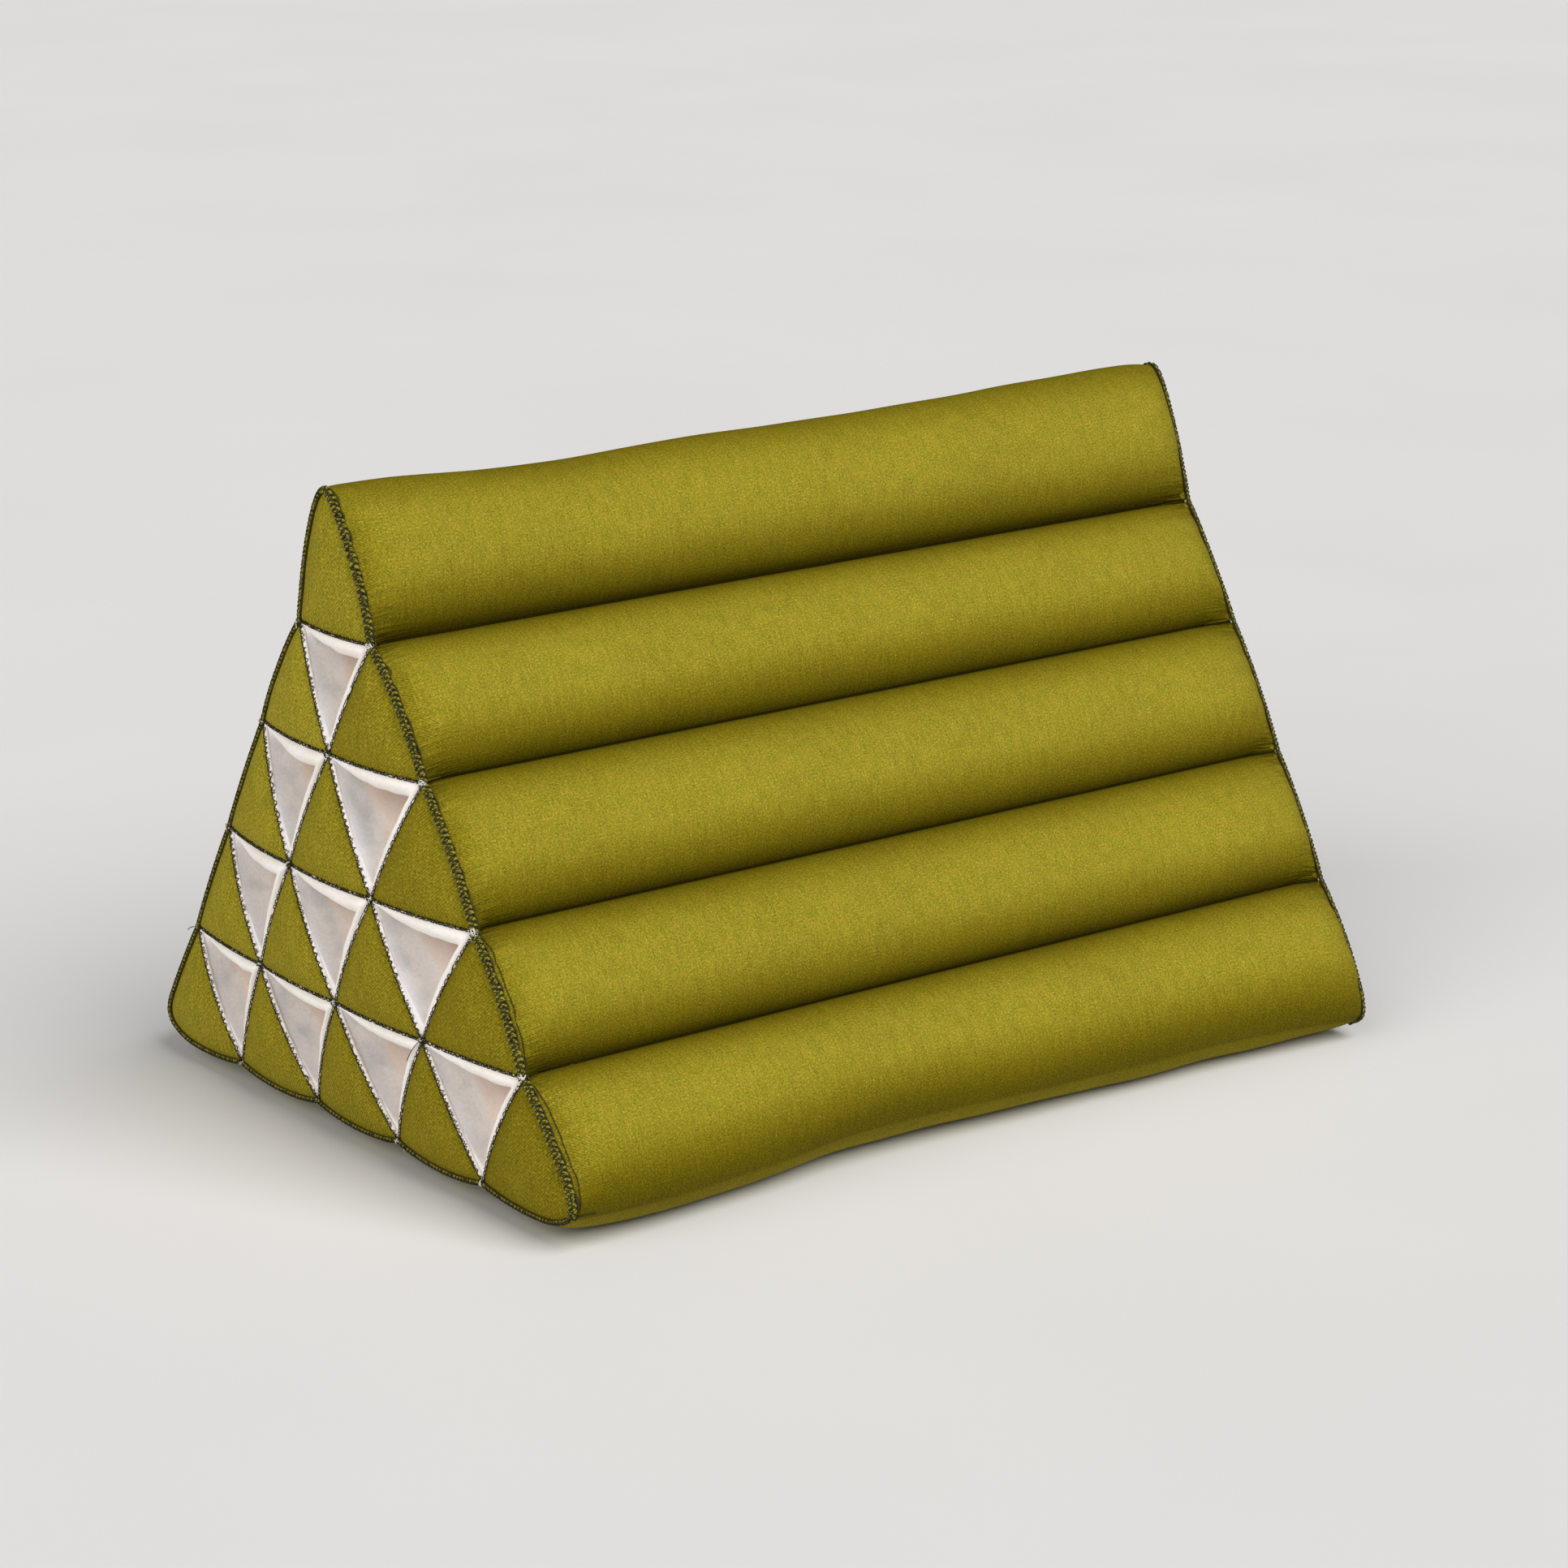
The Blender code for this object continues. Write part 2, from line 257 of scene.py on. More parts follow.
# The knots at the tubes' corners. The left end's front ones are wrapped round the edge.
KNOT_LIFT = 0.0012
KNOT_SIZE = {"wrapped": 0.0016, "plain": 0.0010}
KNOT_COUNT = {"wrapped": 6, "plain": 3}
KNOT_TURNS = {"wrapped": (1.0, 0.5, 1.0), "plain": (0.7, 1.0, 1.0)}
KNOT_SIZE_UNEVEN = 0.0007
KNOT_FLATNESS = 0.75
KNOT_STEPS = 14
KNOT_RADIUS = {"pale": 0.00030, "dark": 0.00024}
DARK_KNOTS = 3
RIGHT_KNOTS = 0.5  # the size of the right end's knots, as a share of the left end's
LOOSE_END = 0.0022
LOOSE_END_DROP = 1.5
LOOSE_END_SPREAD = (0.35, 1.0, 1.0)
LOOSE_END_LIFT = 0.001
LOOSE_END_RADIUS = 0.0002
LOOSE_END_STEPS = 12

# The top stitch.
TOP_STITCH_STATION = 1  # the row of the cover's points that the top stitch follows
TOP_STITCH_ROLLS = (3, 4)
TOP_STITCH_RADIUS = 0.0003
TOP_STITCH_STEPS = 4  # the points of one stitch, which dips at its end
TOP_STITCH_DIP = 0.5
TACK_STATIONS = (1, 5)  # the rows between which a short tack runs off the top stitch's lower end
TACK_PLACE = 2

# Steps of the meshes.
FACE_STEPS = 24
UNDERSIDE_STEPS = 12
CROWDING = 0.11
EDGE_STEPS = 16
FINE_STATIONS = (0.0, 0.0022, 0.0046, 0.0074, 0.0106, 0.0142, 0.0184, 0.0234, 0.0296, 0.037, 0.0455)
LONG_STEP = 0.0083
CAP_RINGS = (1.0, 0.965, 0.90, 0.80, 0.66, 0.50, 0.34, 0.20, 0.08)
POCKET_RINGS = (0.07, 0.14, 0.21, 0.30, 0.42, 0.55, 0.69, 0.83, 0.94)
SKYLIGHT_RINGS = (0.07, 0.42)  # between these rings a wall's painted bluish skylight fades
LEAF_RINGS, LEAF_SIDES = 5, 6
LEAF_TIP, LEAF_ROUND = 0.04, 0.7
PLAIN_WEAVE = 0.001  # the weave's step where a piece gives no weave of its own
THREAD_WEAVE = 0.003
THREAD_LIFT = 0.0001
HAND_SEED = 7  # where the hand stitches' random draws start
NOISE_GAIN = 1.6

# Colours, as linear red, green and blue. A pair is the two that a finish drifts between.
OLIVE = ((0.253, 0.217, 0.014), (0.271, 0.219, 0.016))
# Painted shade colour: the darker, warmer olive that the cloth is painted where it lies in shade.
OLIVE_PAINTED_SHADE = (0.262, 0.203, 0.0008)
OLIVE_FLECK = (0.40, 0.36, 0.09)
LIP_WHITE = ((0.88, 0.82, 0.76), (0.92, 0.88, 0.84))
# Painted light on the white cotton: the bluish tints stand in for skylight on lips and back walls, the warm
# and brown ones for shade deeper in the pockets.
LIP_PAINTED_SKYLIGHT = (0.86, 0.86, 0.90)
WALL_PAINTED_SHADE = ((0.92, 0.79, 0.69), (0.95, 0.86, 0.78))
WALL_PAINTED_SKYLIGHT = ((0.72, 0.735, 0.74), (0.93, 0.91, 0.89))
POCKET_FLOOR_PAINTED_SHADE = ((0.40, 0.27, 0.22), (0.50, 0.37, 0.32))
STUDIO_FLOOR = ((0.765, 0.755, 0.74), (0.785, 0.775, 0.76))
THREADS = {  # each thread's colour, and how much lighter and darker its fibres are
    "dark": ((0.042, 0.036, 0.012), 0.4),
    "pale": ((0.70, 0.67, 0.62), 0.12),
    "green": ((0.25, 0.225, 0.025), 0.35),
}

# The studio: its lights (direction, spread in degrees, strength and colour), its sky and its camera.
LIGHTS = {
    "overhead": ((0.15, -0.66, 0.74), 48, 2.6, (0.99, 0.99, 1.0)),
    "window": ((-0.82, -0.22, 0.38), 60, 1.9, (1.0, 0.98, 0.95)),
}
SKY_COLOUR, SKY_STRENGTH = (0.97, 0.98, 1.0, 1.0), 0.14
FLOOR_RADII = (0.5, 2.0, 6.0, 14.0)
FLOOR_STEPS = 96
CAMERA_AZIMUTH_DEGREES, CAMERA_ELEVATION_DEGREES = -37.75, 15.94
CAMERA_PLACE = (-1.2773, -1.6616, 0.7165 + FLOOR_LIFT)
CAMERA_SENSOR = 36.0
FOCAL_PIXELS, PHOTO_PIXELS = 5600, 1932

ROWS = len(SEAM_ROWS) - 1
ROLLS = 3 * ROWS
SEAM_HEIGHT, SEAM_WIDTH = SEAM_ROWS[0][0], SEAM_ROWS[-1][1]
HALF_LENGTH = SEAM_LENGTH / 2
BODY_END = HALF_LENGTH - TUBE_END
APEX, FRONT_CORNER, BACK_CORNER = (0, 0), (ROWS, 0), (ROWS, ROWS)
FOLDED_EDGES = (APEX, FRONT_CORNER, BACK_CORNER)  # the three long edges, which have no seam
ENDS = {"left": -1, "right": 1}
FACE_LEAN = math.atan2(SEAM_WIDTH / 2, SEAM_HEIGHT)
CHANNELS = [(row, place) for row in range(1, ROWS) for place in (0, row)]


# The lattice of seams


def arch(share):
    """A low arch over shares from 0 to 1, with its crown of 1 halfway."""
    return 4 * share * (1 - share)


def rising(distance, length, least=0.0):
    """Rises from least to 1 over a length."""
    return np.clip(distance / length, least, 1)


def channel_draw(from_end):
    """How far stuffing the rolls draws a face's channel seam in, at distances from the end seam."""
    return CHANNEL_DRAW * (1 - np.exp(-from_end / CHANNEL_START))


def seam_corner(number, x):
    """A seam corner at x, as (y, z). Its number is its row from the ridge down and its place from the
    front."""
    row, place = number
    x = np.asarray(x, float)
    middle = np.clip(1 - (x / HALF_LENGTH) ** 2, 0, None)
    height, width = SEAM_ROWS[row]
    y = np.full(x.shape, width * (place / row - 0.5) if row else 0.0)
    z = np.full(x.shape, FLOOR_LIFT + height)
    if number == APEX:
        y += RIDGE_SKEW * np.clip(-x / HALF_LENGTH, 0, None)
        z += RIDGE_LIFT - RIDGE_SAG * middle
        z -= RIDGE_DIP * np.exp(-(((x - RIDGE_DIP_PLACE) / RIDGE_DIP_LENGTH) ** 2))
    if row == ROWS:
        z -= UNDERSIDE_SAG * middle
    if number in (FRONT_CORNER, BACK_CORNER):
        y += math.copysign(1, place - 0.5) * (BASE_CORNER_REACH - BASE_EDGE_DRAW * middle)
        z += BASE_CORNER_LIFT + BASE_EDGE_RISE * middle
    if number in CHANNELS:
        y -= math.copysign(1, y.flat[0]) * channel_draw(HALF_LENGTH - np.abs(x))
    if number == FRONT_CORNER:
        nip = BASE_NIP * np.exp(-(((x - BASE_NIP_PLACE) / BASE_NIP_LENGTH) ** 2)) * middle
        pull = np.clip(x / HALF_LENGTH, 0, None) ** CORNER_POWER
        y += nip - EAR_REACH * pull
        z += nip * BASE_NIP_RISE - EAR_DROP * pull
    if number == BACK_CORNER:
        y -= BACK_TUCK * np.clip(-x / HALF_LENGTH, 0, None) ** CORNER_POWER
    return np.stack([y, z], -1)


def swell(share):
    """A roll's height over the line between its seams, as a share of its crown."""
    return np.clip(arch(share), 0, None) ** SWELL_POWER


def end_reach(points):
    """How far along X the end's seams stand at points (y, z) of the end."""
    up = (points[..., 1] - FLOOR_LIFT) / SEAM_HEIGHT
    back = points[..., 0] / SEAM_WIDTH + (1 - up) / 2
    front = 1 - up - back
    dome = 27 * np.clip(up, 0, None) * np.clip(back, 0, None) * np.clip(front, 0, None)
    return HALF_LENGTH + END_LEAN * (up - 1 / 3) + END_DOME * dome


def right_of(along):
    """The unit direction to the right of a way walked in the (y, z) plane."""
    across = np.stack([along[..., 1], -along[..., 0]], -1)
    return across / np.linalg.norm(across, axis=-1, keepdims=True)


def crowded(steps):
    """Shares from 0 up to 1, without 1, set closer together at both ends."""
    even = np.arange(steps) / steps
    return even - CROWDING * np.sin(2 * math.pi * even)


def outer_corners():
    """The seam corners round the section: down the front face, along the underside and up the back face."""
    front = [(row, 0) for row in range(ROWS)]
    underside = [(ROWS, place) for place in range(ROWS)]
    back = [(row, row) for row in range(ROWS, 0, -1)]
    return front + underside + back


def cap_corners(row, place):
    """A tube's three seam corners: top, front and back."""
    return (row - 1, place), (row, place), (row, place + 1)


def pocket_corners(row, place):
    """A pocket's three seam corners: front, bottom and back."""
    return (row, place), (row + 1, place + 1), (row, place + 1)


def unit(vectors):
    """The vectors' directions."""
    return vectors / np.maximum(np.linalg.norm(vectors, axis=-1, keepdims=True), 1e-12)


def ripple(places, seed):
    """Smooth noise from -1 to 1 at places, an array of points already divided by the noise's size."""
    flat = places.reshape(-1, 3)
    values = [noise.noise(Vector((p[0] + seed, p[1] - seed, p[2] + 2 * seed))) for p in flat]
    return np.clip(np.array(values).reshape(places.shape[:-1]) * NOISE_GAIN, -1, 1)


# Meshes


class Pattern:
    """Points, faces and weave coordinates of one piece, gathered bit by bit."""

    def __init__(self):
        self.points, self.quads, self.triangles = [], [], []
        self.quad_uvs, self.triangle_uvs = [], []
        self.count = 0

    def add_points(self, points):
        """Adds points, and says which number the first of them has."""
        first = self.count
        points = np.asarray(points, float).reshape(-1, 3)
        self.points.append(points)
        self.count += len(points)
        return first

    def grid(self, rings, uvs=None, loop=False, flip=False, start=None, end=None):
        """Quads over rings, which are rows of points that each go once round. loop joins the last ring to the
        first. start and end close the first or the last ring, with "rungs" across it or up to a point."""
        rows, steps = rings.shape[:2]
        first = self.add_points(rings)
        if uvs is None:
            u, v = np.meshgrid(np.arange(steps + 1), np.arange(rows + 1))
            uvs = np.stack([u, v], -1) * PLAIN_WEAVE
        row, step = np.meshgrid(np.arange(rows if loop else rows - 1), np.arange(steps), indexing="ij")
        row, step = row.ravel(), step.ravel()
        corners = [(row, step), (row, step + 1), (row + 1, step + 1), (row + 1, step)]
        if flip:
            corners.reverse()
        index = [first + (r % rows) * steps + s % steps for r, s in corners]
        self.quads.append(np.stack(index, -1))
        last_row, last_step = uvs.shape[0] - 1, uvs.shape[1] - 1
        picked = [uvs[np.minimum(r, last_row), np.minimum(s, last_step)] for r, s in corners]
        self.quad_uvs.append(np.stack(picked, 1).reshape(-1, 2))
        for closing, at, turned in ((start, 0, not flip), (end, rows - 1, flip)):
            if isinstance(closing, str):
                self.rungs(first + at * steps, steps, turned, uvs[min(at, last_row)])
            elif closing is not None:
                self.fan(first + at * steps, steps, closing, turned, uvs[min(at, last_row)])

    def rungs(self, first, steps, flip, uvs):
        """Quads that close an even ring of points from side to side, like the rungs of a ladder."""
        near = np.arange(steps // 2 - 1)
        far = steps - 1 - near
        corners = [near, near + 1, far - 1, far]
        if flip:
            corners.reverse()
        self.quads.append(first + np.stack(corners, -1))
        self.quad_uvs.append(uvs[np.stack(corners, 1)].reshape(-1, 2))

    def fan(self, first, steps, tip, flip, uvs):
        """Triangles from a ring of points up to one tip."""
        top = self.add_points(tip)
        step = np.arange(steps)
        sides = [first + step, first + (step + 1) % steps, np.full(steps, top)]
        middle = np.repeat(uvs[:steps].mean(0, keepdims=True), steps, 0)
        picked = [uvs[step], uvs[np.minimum(step + 1, len(uvs) - 1)], middle]
        if flip:
            sides.reverse()
            picked.reverse()
        self.triangles.append(np.stack(sides, -1))
        self.triangle_uvs.append(np.stack(picked, 1).reshape(-1, 2))

    def piece(self, name, material):
        """The finished object, which rides on the cushion's body."""
        mesh = bpy.data.meshes.new(name)
        faces = [face for part in self.quads + self.triangles for face in part.tolist()]
        mesh.from_pydata(np.concatenate(self.points).tolist(), [], faces)
        layer = mesh.uv_layers.new(name="weave")
        uvs = np.concatenate(self.quad_uvs + self.triangle_uvs)
        layer.data.foreach_set("uv", uvs.astype(np.float32).ravel())
        mesh.shade_smooth()
        if material:
            mesh.materials.append(material)
        piece = bpy.data.objects.new(name, mesh)
        bpy.context.scene.collection.objects.link(piece)
        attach(piece, "root")
        return piece


def tube(pattern, path, radius, sides, facing, loop=False):
    """A round thread along a path. facing is any direction that the path never runs along."""
    if loop:
        tangent = unit(np.roll(path, -1, 0) - np.roll(path, 1, 0))
    else:
        tangent = unit(np.gradient(path, axis=0))
    across = unit(np.cross(tangent, np.asarray(facing, float)))
    up = np.cross(across, tangent)
    turn = 2 * math.pi * np.arange(sides) / sides
    radius = np.broadcast_to(np.asarray(radius, float), (len(path),))[:, None, None]
    ring = np.cos(turn)[None, :, None] * across[:, None, :] + np.sin(turn)[None, :, None] * up[:, None, :]
    steps = np.linalg.norm(np.diff(path, axis=0), axis=1)
    run = np.concatenate([[0.0], np.cumsum(steps), [np.sum(steps) + steps[-1]]])
    u, v = np.meshgrid(np.arange(sides + 1) / sides * THREAD_WEAVE, run)
    ends = {} if loop else {"start": path[0], "end": path[-1]}
    pattern.grid(path[:, None, :] + radius * ring, np.stack([v, u], -1), loop=loop, flip=True, **ends)


def even_path(path, pitch, loop=False):
    """The path again, with points at equal distances."""
    if loop:
        path = np.concatenate([path, path[:1]])
    run = np.concatenate([[0.0], np.cumsum(np.linalg.norm(np.diff(path, axis=0), axis=1))])
    count = max(2, round(run[-1] / pitch))
    at = np.linspace(0, run[-1], count + 1)
    if loop:
        at = at[:-1]
    return np.stack([np.interp(at, run, path[:, axis]) for axis in range(3)], -1)


# Finishes


class Strand:
    """One output of a finish's nodes. Sums, differences and products of strands add Math nodes."""

    def __init__(self, finish, socket):
        self.finish, self.socket = finish, socket

    def math(self, operation, *values):
        return self.finish.node("ShaderNodeMath", {"operation": operation}, dict(enumerate(values)))

    def __add__(self, other):
        return self.math("ADD", self, other)

    def __sub__(self, other):
        return self.math("SUBTRACT", self, other)

    def __rsub__(self, other):
        return self.math("SUBTRACT", other, self)

    def __mul__(self, other):
        return self.math("MULTIPLY", self, other)

    __radd__, __rmul__ = __add__, __mul__


class Finish:
    """A material in the making."""

    def __init__(self, name):
        self.material = bpy.data.materials.new(name)
        self.material.use_nodes = True
        self.tree = self.material.node_tree
        self.shader = self.tree.nodes["Principled BSDF"]

    def node(self, kind, settings, sockets, output=0):
        """A node with its settings first and then its sockets' values or strands."""
        node = self.tree.nodes.new(kind)
        for name, value in settings.items():
            setattr(node, name, value)
        for name, value in sockets.items():
            self.feed(node.inputs[name], value)
        return Strand(self, node.outputs[output])

    def feed(self, socket, value):
        """Links a strand to a socket, or sets the socket to a value or a colour."""
        if isinstance(value, Strand):
            self.tree.links.new(value.socket, socket)
        elif isinstance(value, tuple) and len(value) == 3 and socket.type == "RGBA":
            socket.default_value = (*value, 1.0)
        else:
            socket.default_value = value

    def weave(self):
        """The piece's weave coordinates, in metres."""
        return self.node("ShaderNodeUVMap", {"uv_map": "weave"}, {})

    def place(self):
        """The point's place on the cushion, in metres."""
        return self.node("ShaderNodeNewGeometry", {}, {}, "Position")

    def marked(self, name):
        """A value that was marked on the piece's points."""
        return self.node("ShaderNodeAttribute", {"attribute_name": name}, {}, "Fac")

    def cloud(self, at, size, detail=2.0, roughness=0.5):
        """Noise from 0 to 1 whose lumps are size metres across."""
        sockets = {"Vector": at, "Scale": 1 / size, "Detail": detail, "Roughness": roughness}
        return self.node("ShaderNodeTexNoise", {"noise_dimensions": "3D"}, sockets)

    def streaks(self, weave, across, along, detail):
        """Noise from 0 to 1 in streaks, with so many lumps to a metre of the weave's two directions."""
        stretched = {0: weave, 1: (across, along, 0.0)}
        stretched = self.node("ShaderNodeVectorMath", {"operation": "MULTIPLY"}, stretched)
        return self.cloud(stretched, 1.0, detail)

    def lines(self, at, direction, pitch, wobble):
        """Soft lines from 0 to 1, pitch metres apart, across a direction of the weave coordinates."""
        scaled = {0: at, 1: (direction[0] / pitch, direction[1] / pitch, 0.0)}
        along = self.node("ShaderNodeVectorMath", {"operation": "DOT_PRODUCT"}, scaled, "Value")
        turn = along * (2 * math.pi) + wobble
        return turn.math("SINE", turn) * 0.5 + 0.5

    def spread(self, strand, low, high, to_low=0.0, to_high=1.0):
        """The strand's range low to high stretched to another range, and held there."""
        sockets = {"Value": strand, "From Min": low, "From Max": high, "To Min": to_low, "To Max": to_high}
        return self.node("ShaderNodeMapRange", {"clamp": True}, sockets)

    def mixed(self, factor, first, second, blend="MIX"):
        """One colour laid over another."""
        settings = {"data_type": "RGBA", "blend_type": blend, "clamp_factor": True}
        return self.node("ShaderNodeMix", settings, {0: factor, 6: first, 7: second}, 2)

    def drifting(self, strand, pair, low=0.35, high=0.65):
        """A colour that drifts between a pair as the strand goes from low to high."""
        return self.mixed(self.spread(strand, low, high), *pair)

    def tinted(self, colour, brightness):
        """A colour made lighter or darker by a strand."""
        grey = self.node("ShaderNodeCombineColor", {}, {0: brightness, 1: brightness, 2: brightness})
        return self.mixed(1.0, colour, grey, "MULTIPLY")

    def relief(self, height, distance, strength):
        """The normal over a height, where a height of 1 stands distance metres up."""
        sockets = {"Strength": strength, "Distance": distance, "Height": height}
        return self.node("ShaderNodeBump", {}, sockets)

    def finished(self, colour, normal, roughness, **constants):
        """The material, with what varies linked to its shader and what is constant set on it."""
        self.feed(self.shader.inputs["Base Color"], colour)
        self.feed(self.shader.inputs["Roughness"], roughness)
        if normal:
            self.feed(self.shader.inputs["Normal"], normal)
        for name, value in constants.items():
            self.feed(self.shader.inputs[name.replace("_", " ")], value)
        return self.material


def green_twill():
    """The olive cotton twill, heathered and faintly mottled, with painted shade beside its seams, in its
    gathers and on its lower and front tube ends.
    """
    cloth = Finish("green_twill")
    weave, painted_shade, gathers_and_painted_shade = cloth.weave(), cloth.marked("painted_shade"), cloth.marked("gathers_and_painted_shade")
    speck = cloth.cloud(weave, 0.0009, detail=2.0, roughness=0.75)
    streak = cloth.streaks(weave, 650.0, 90.0, detail=2.0)
    blotch = cloth.cloud(weave, 0.007, detail=2.0)
    mottle = cloth.cloud(cloth.place(), 0.05, detail=1.0)
    twill = cloth.lines(weave, (0.7071, -0.7071), 0.0009, speck * 3.0)
    pucker = cloth.streaks(weave, 45.0, 330.0, detail=1.0) * 2.0 - 1.0
    pucker = cloth.spread(pucker * pucker, 0.0, 0.05)
    shade = (speck - 0.5) * 2.1 + (streak - 0.5) * 0.5 + (blotch - 0.5) * 0.2 + (mottle - 0.5) * 0.14 + 1.0
    shade = shade + (twill - 0.5) * 0.3
    # Painted shade: the folds of the gathers are painted darker, on top of their bumps.
    shade = shade * (1.0 - painted_shade * PAINTED_SHADE_STRENGTH) * (1.0 - (1.0 - pucker) * gathers_and_painted_shade * 0.5)
    # Painted shade: where the cover and the tube ends are marked for it, the cloth is painted darker, warmer
    # and more saturated.
    deep = cloth.mixed(painted_shade, cloth.drifting(blotch, OLIVE), OLIVE_PAINTED_SHADE)
    tint = cloth.mixed(cloth.spread(speck, 0.56, 0.72, 0.0, 0.35), deep, OLIVE_FLECK)
    height = twill * 0.00007 + speck * 0.00016 + pucker * gathers_and_painted_shade * 0.0009
    relief = cloth.relief(height, distance=1.0, strength=0.8)
    return cloth.finished(cloth.tinted(tint, shade), relief, roughness=0.9, Specular_IOR_Level=0.06)


def white_cotton():
    """The plain white cotton of the tubes, with painted bluish skylight on its lips and back walls and
    painted shade, warmer and duller, down in the pockets.
    """
    cloth = Finish("white_cotton")
    weave, depth = cloth.weave(), cloth.marked("painted_pocket_shade")
    slub = cloth.cloud(weave, 0.0016, detail=3.0, roughness=0.6)
    mottle = cloth.cloud(cloth.place(), 0.018, detail=3.0)
    warp = cloth.lines(weave, (1.0, 0.0), 0.0006, slub * 1.5)
    weft = cloth.lines(weave, (0.0, 1.0), 0.0006, slub * 1.5)
    # Painted skylight: a bluish tint on the lips and back walls.
    bluish = cloth.spread(cloth.marked("painted_skylight") + (mottle - 0.5) * 1.3, 0.42, 0.62)
    lip = cloth.mixed(bluish, cloth.drifting(mottle, LIP_WHITE), LIP_PAINTED_SKYLIGHT)
    cool = cloth.drifting(mottle, WALL_PAINTED_SKYLIGHT, 0.36, 0.52)
    wall = cloth.mixed(bluish, cloth.drifting(mottle, WALL_PAINTED_SHADE), cool)
    # Painted shade: deeper in a pocket the cloth is painted beige and then brown.
    tint = cloth.mixed(cloth.spread(depth, 0.08, 0.20), lip, wall)
    tint = cloth.mixed(cloth.spread(depth, 0.42, 0.95), tint, cloth.drifting(mottle, POCKET_FLOOR_PAINTED_SHADE))
    shade = cloth.spread(slub, 0.3, 0.7, 0.94, 1.05) + (warp * weft - 0.25) * 0.05
    relief = cloth.relief(warp * 0.4 + weft * 0.4 + slub * 0.5, distance=0.00012, strength=0.6)
    return cloth.finished(cloth.tinted(tint, shade), relief, roughness=0.92, Sheen_Weight=0.08)


def thread(kind):
    """A twisted sewing thread, lighter on its fibres."""
    colour, spread = THREADS[kind]
    yarn = Finish(f"{kind}_thread")
    weave = yarn.weave()
    fibre = yarn.cloud(weave, 0.0009, detail=3.0, roughness=0.6)
    twist = yarn.lines(weave, (0.7071, 0.7071), 0.0006, fibre * 1.2)
    shade = yarn.spread(fibre, 0.3, 0.7, 1 - spread, 1 + spread) + (twist - 0.5) * spread
    relief = yarn.relief(twist + fibre, distance=0.00012, strength=0.8)
    return yarn.finished(yarn.tinted(colour, shade), relief, roughness=0.85, Specular_IOR_Level=0.15)


def pale_floor():
    """The studio's plain pale floor."""
    floor = Finish("pale_floor")
    grain = floor.cloud(floor.place(), 0.35, detail=3.0)
    return floor.finished(floor.drifting(grain, STUDIO_FLOOR, 0.3, 0.7), None, roughness=0.75)


# The cover


def roll_kind(index):
    """Whether a roll lies on a leaning face or on the underside. Rolls count like their first corners."""
    return "underside" if ROWS <= index < 2 * ROWS else "face"


def roll_steps(index):
    """How many steps a roll's mesh has round it."""
    return UNDERSIDE_STEPS if roll_kind(index) == "underside" else FACE_STEPS


def roll_corners(index):
    """The seam corners between which a roll lies."""
    numbers = outer_corners()
    return numbers[index], numbers[(index + 1) % ROLLS]


def roll_starts():
    """The step round the section at which each roll begins, with the last one's end."""
    return np.concatenate([[0], np.cumsum([roll_steps(index) for index in range(ROLLS)])])


def stations():
    """Places along the cover from the left end seam to the right one, as shares of its half length."""
    fine = list(FINE_STATIONS)
    count = round((HALF_LENGTH - fine[-1]) / LONG_STEP)
    coarse = list(np.linspace(fine[-1], HALF_LENGTH, count + 1)[1:])
    half = 1 - np.array(fine + coarse) / HALF_LENGTH
    return np.concatenate([-half, half[::-1][1:]])


def roll_columns(index, x):
    """A roll's rows of points along x, its points' distances to the nearest channel seam, and the way out."""
    from_end = HALF_LENGTH - np.abs(x)
    number, following = roll_corners(index)
    kind, start = roll_kind(index), seam_corner(number, x)
    along = seam_corner(following, x) - start
    outward = right_of(along)
    length = np.linalg.norm(along, axis=-1).mean()
    full = ROLL_CROWN[kind]
    crown = full + (END_CROWNS[index] - full) * np.exp(-from_end / DRAW_IN[kind])
    sags = kind == "face" and ROWS not in (number[0], following[0])
    sunk = np.array((0.0, -ROLL_SAG if sags else 0.0))
    columns, seam_gap = [], []
    for share in crowded(roll_steps(index)):
        point = start + along * share + outward * (crown * swell(share))[:, None]
        columns.append(point + sunk * (swell(share) * crown / full)[:, None])
        gaps = [
            gap * length
            for corner, gap in ((number, share), (following, 1 - share))
            if corner not in FOLDED_EDGES
        ]
        seam_gap.append(min(gaps))
    return columns, seam_gap, outward


def cover_surface():
    """The cover's outer surface: rows of points along it, each going once round the section, with the
    distance to the nearest channel seam and the direction out of the face."""
    x = stations() * HALF_LENGTH
    from_end = HALF_LENGTH - np.abs(x)
    columns, seam_gap, outward, bulge = [], [], [], []
    for index in range(ROLLS):
        roll, gaps, out = roll_columns(index, x)
        columns += roll
        seam_gap += gaps
        outward += [out] * len(roll)
        bulge.append(arch(crowded(len(roll))))
    seam_gap, outward, bulge = np.array(seam_gap), np.stack(outward, 1), np.concatenate(bulge)
    section = rounded(np.stack(columns, 1))
    reach_left = end_reach(section[0]) + OUTER_RISE[-1] * bulge
    reach_right = end_reach(section[-1]) + OUTER_RISE[1] * bulge
    ear_gap = np.linalg.norm(section[-1] - seam_corner(FRONT_CORNER, HALF_LENGTH), axis=-1)
    reach_right -= EAR_TUCK * np.exp(-((ear_gap / EAR_SIZE) ** 2))
    reach = np.where(x[:, None] < 0, reach_left[None], reach_right[None])
    points = np.concatenate([(x[:, None] / HALF_LENGTH * reach)[..., None], section], -1)
    points = stuffed(points, from_end, seam_gap)
    points += relief_of_cover(points, from_end, seam_gap, outward)
    points[..., 2] = np.maximum(points[..., 2], FLOOR_CLEARANCE)
    return points, seam_gap, outward


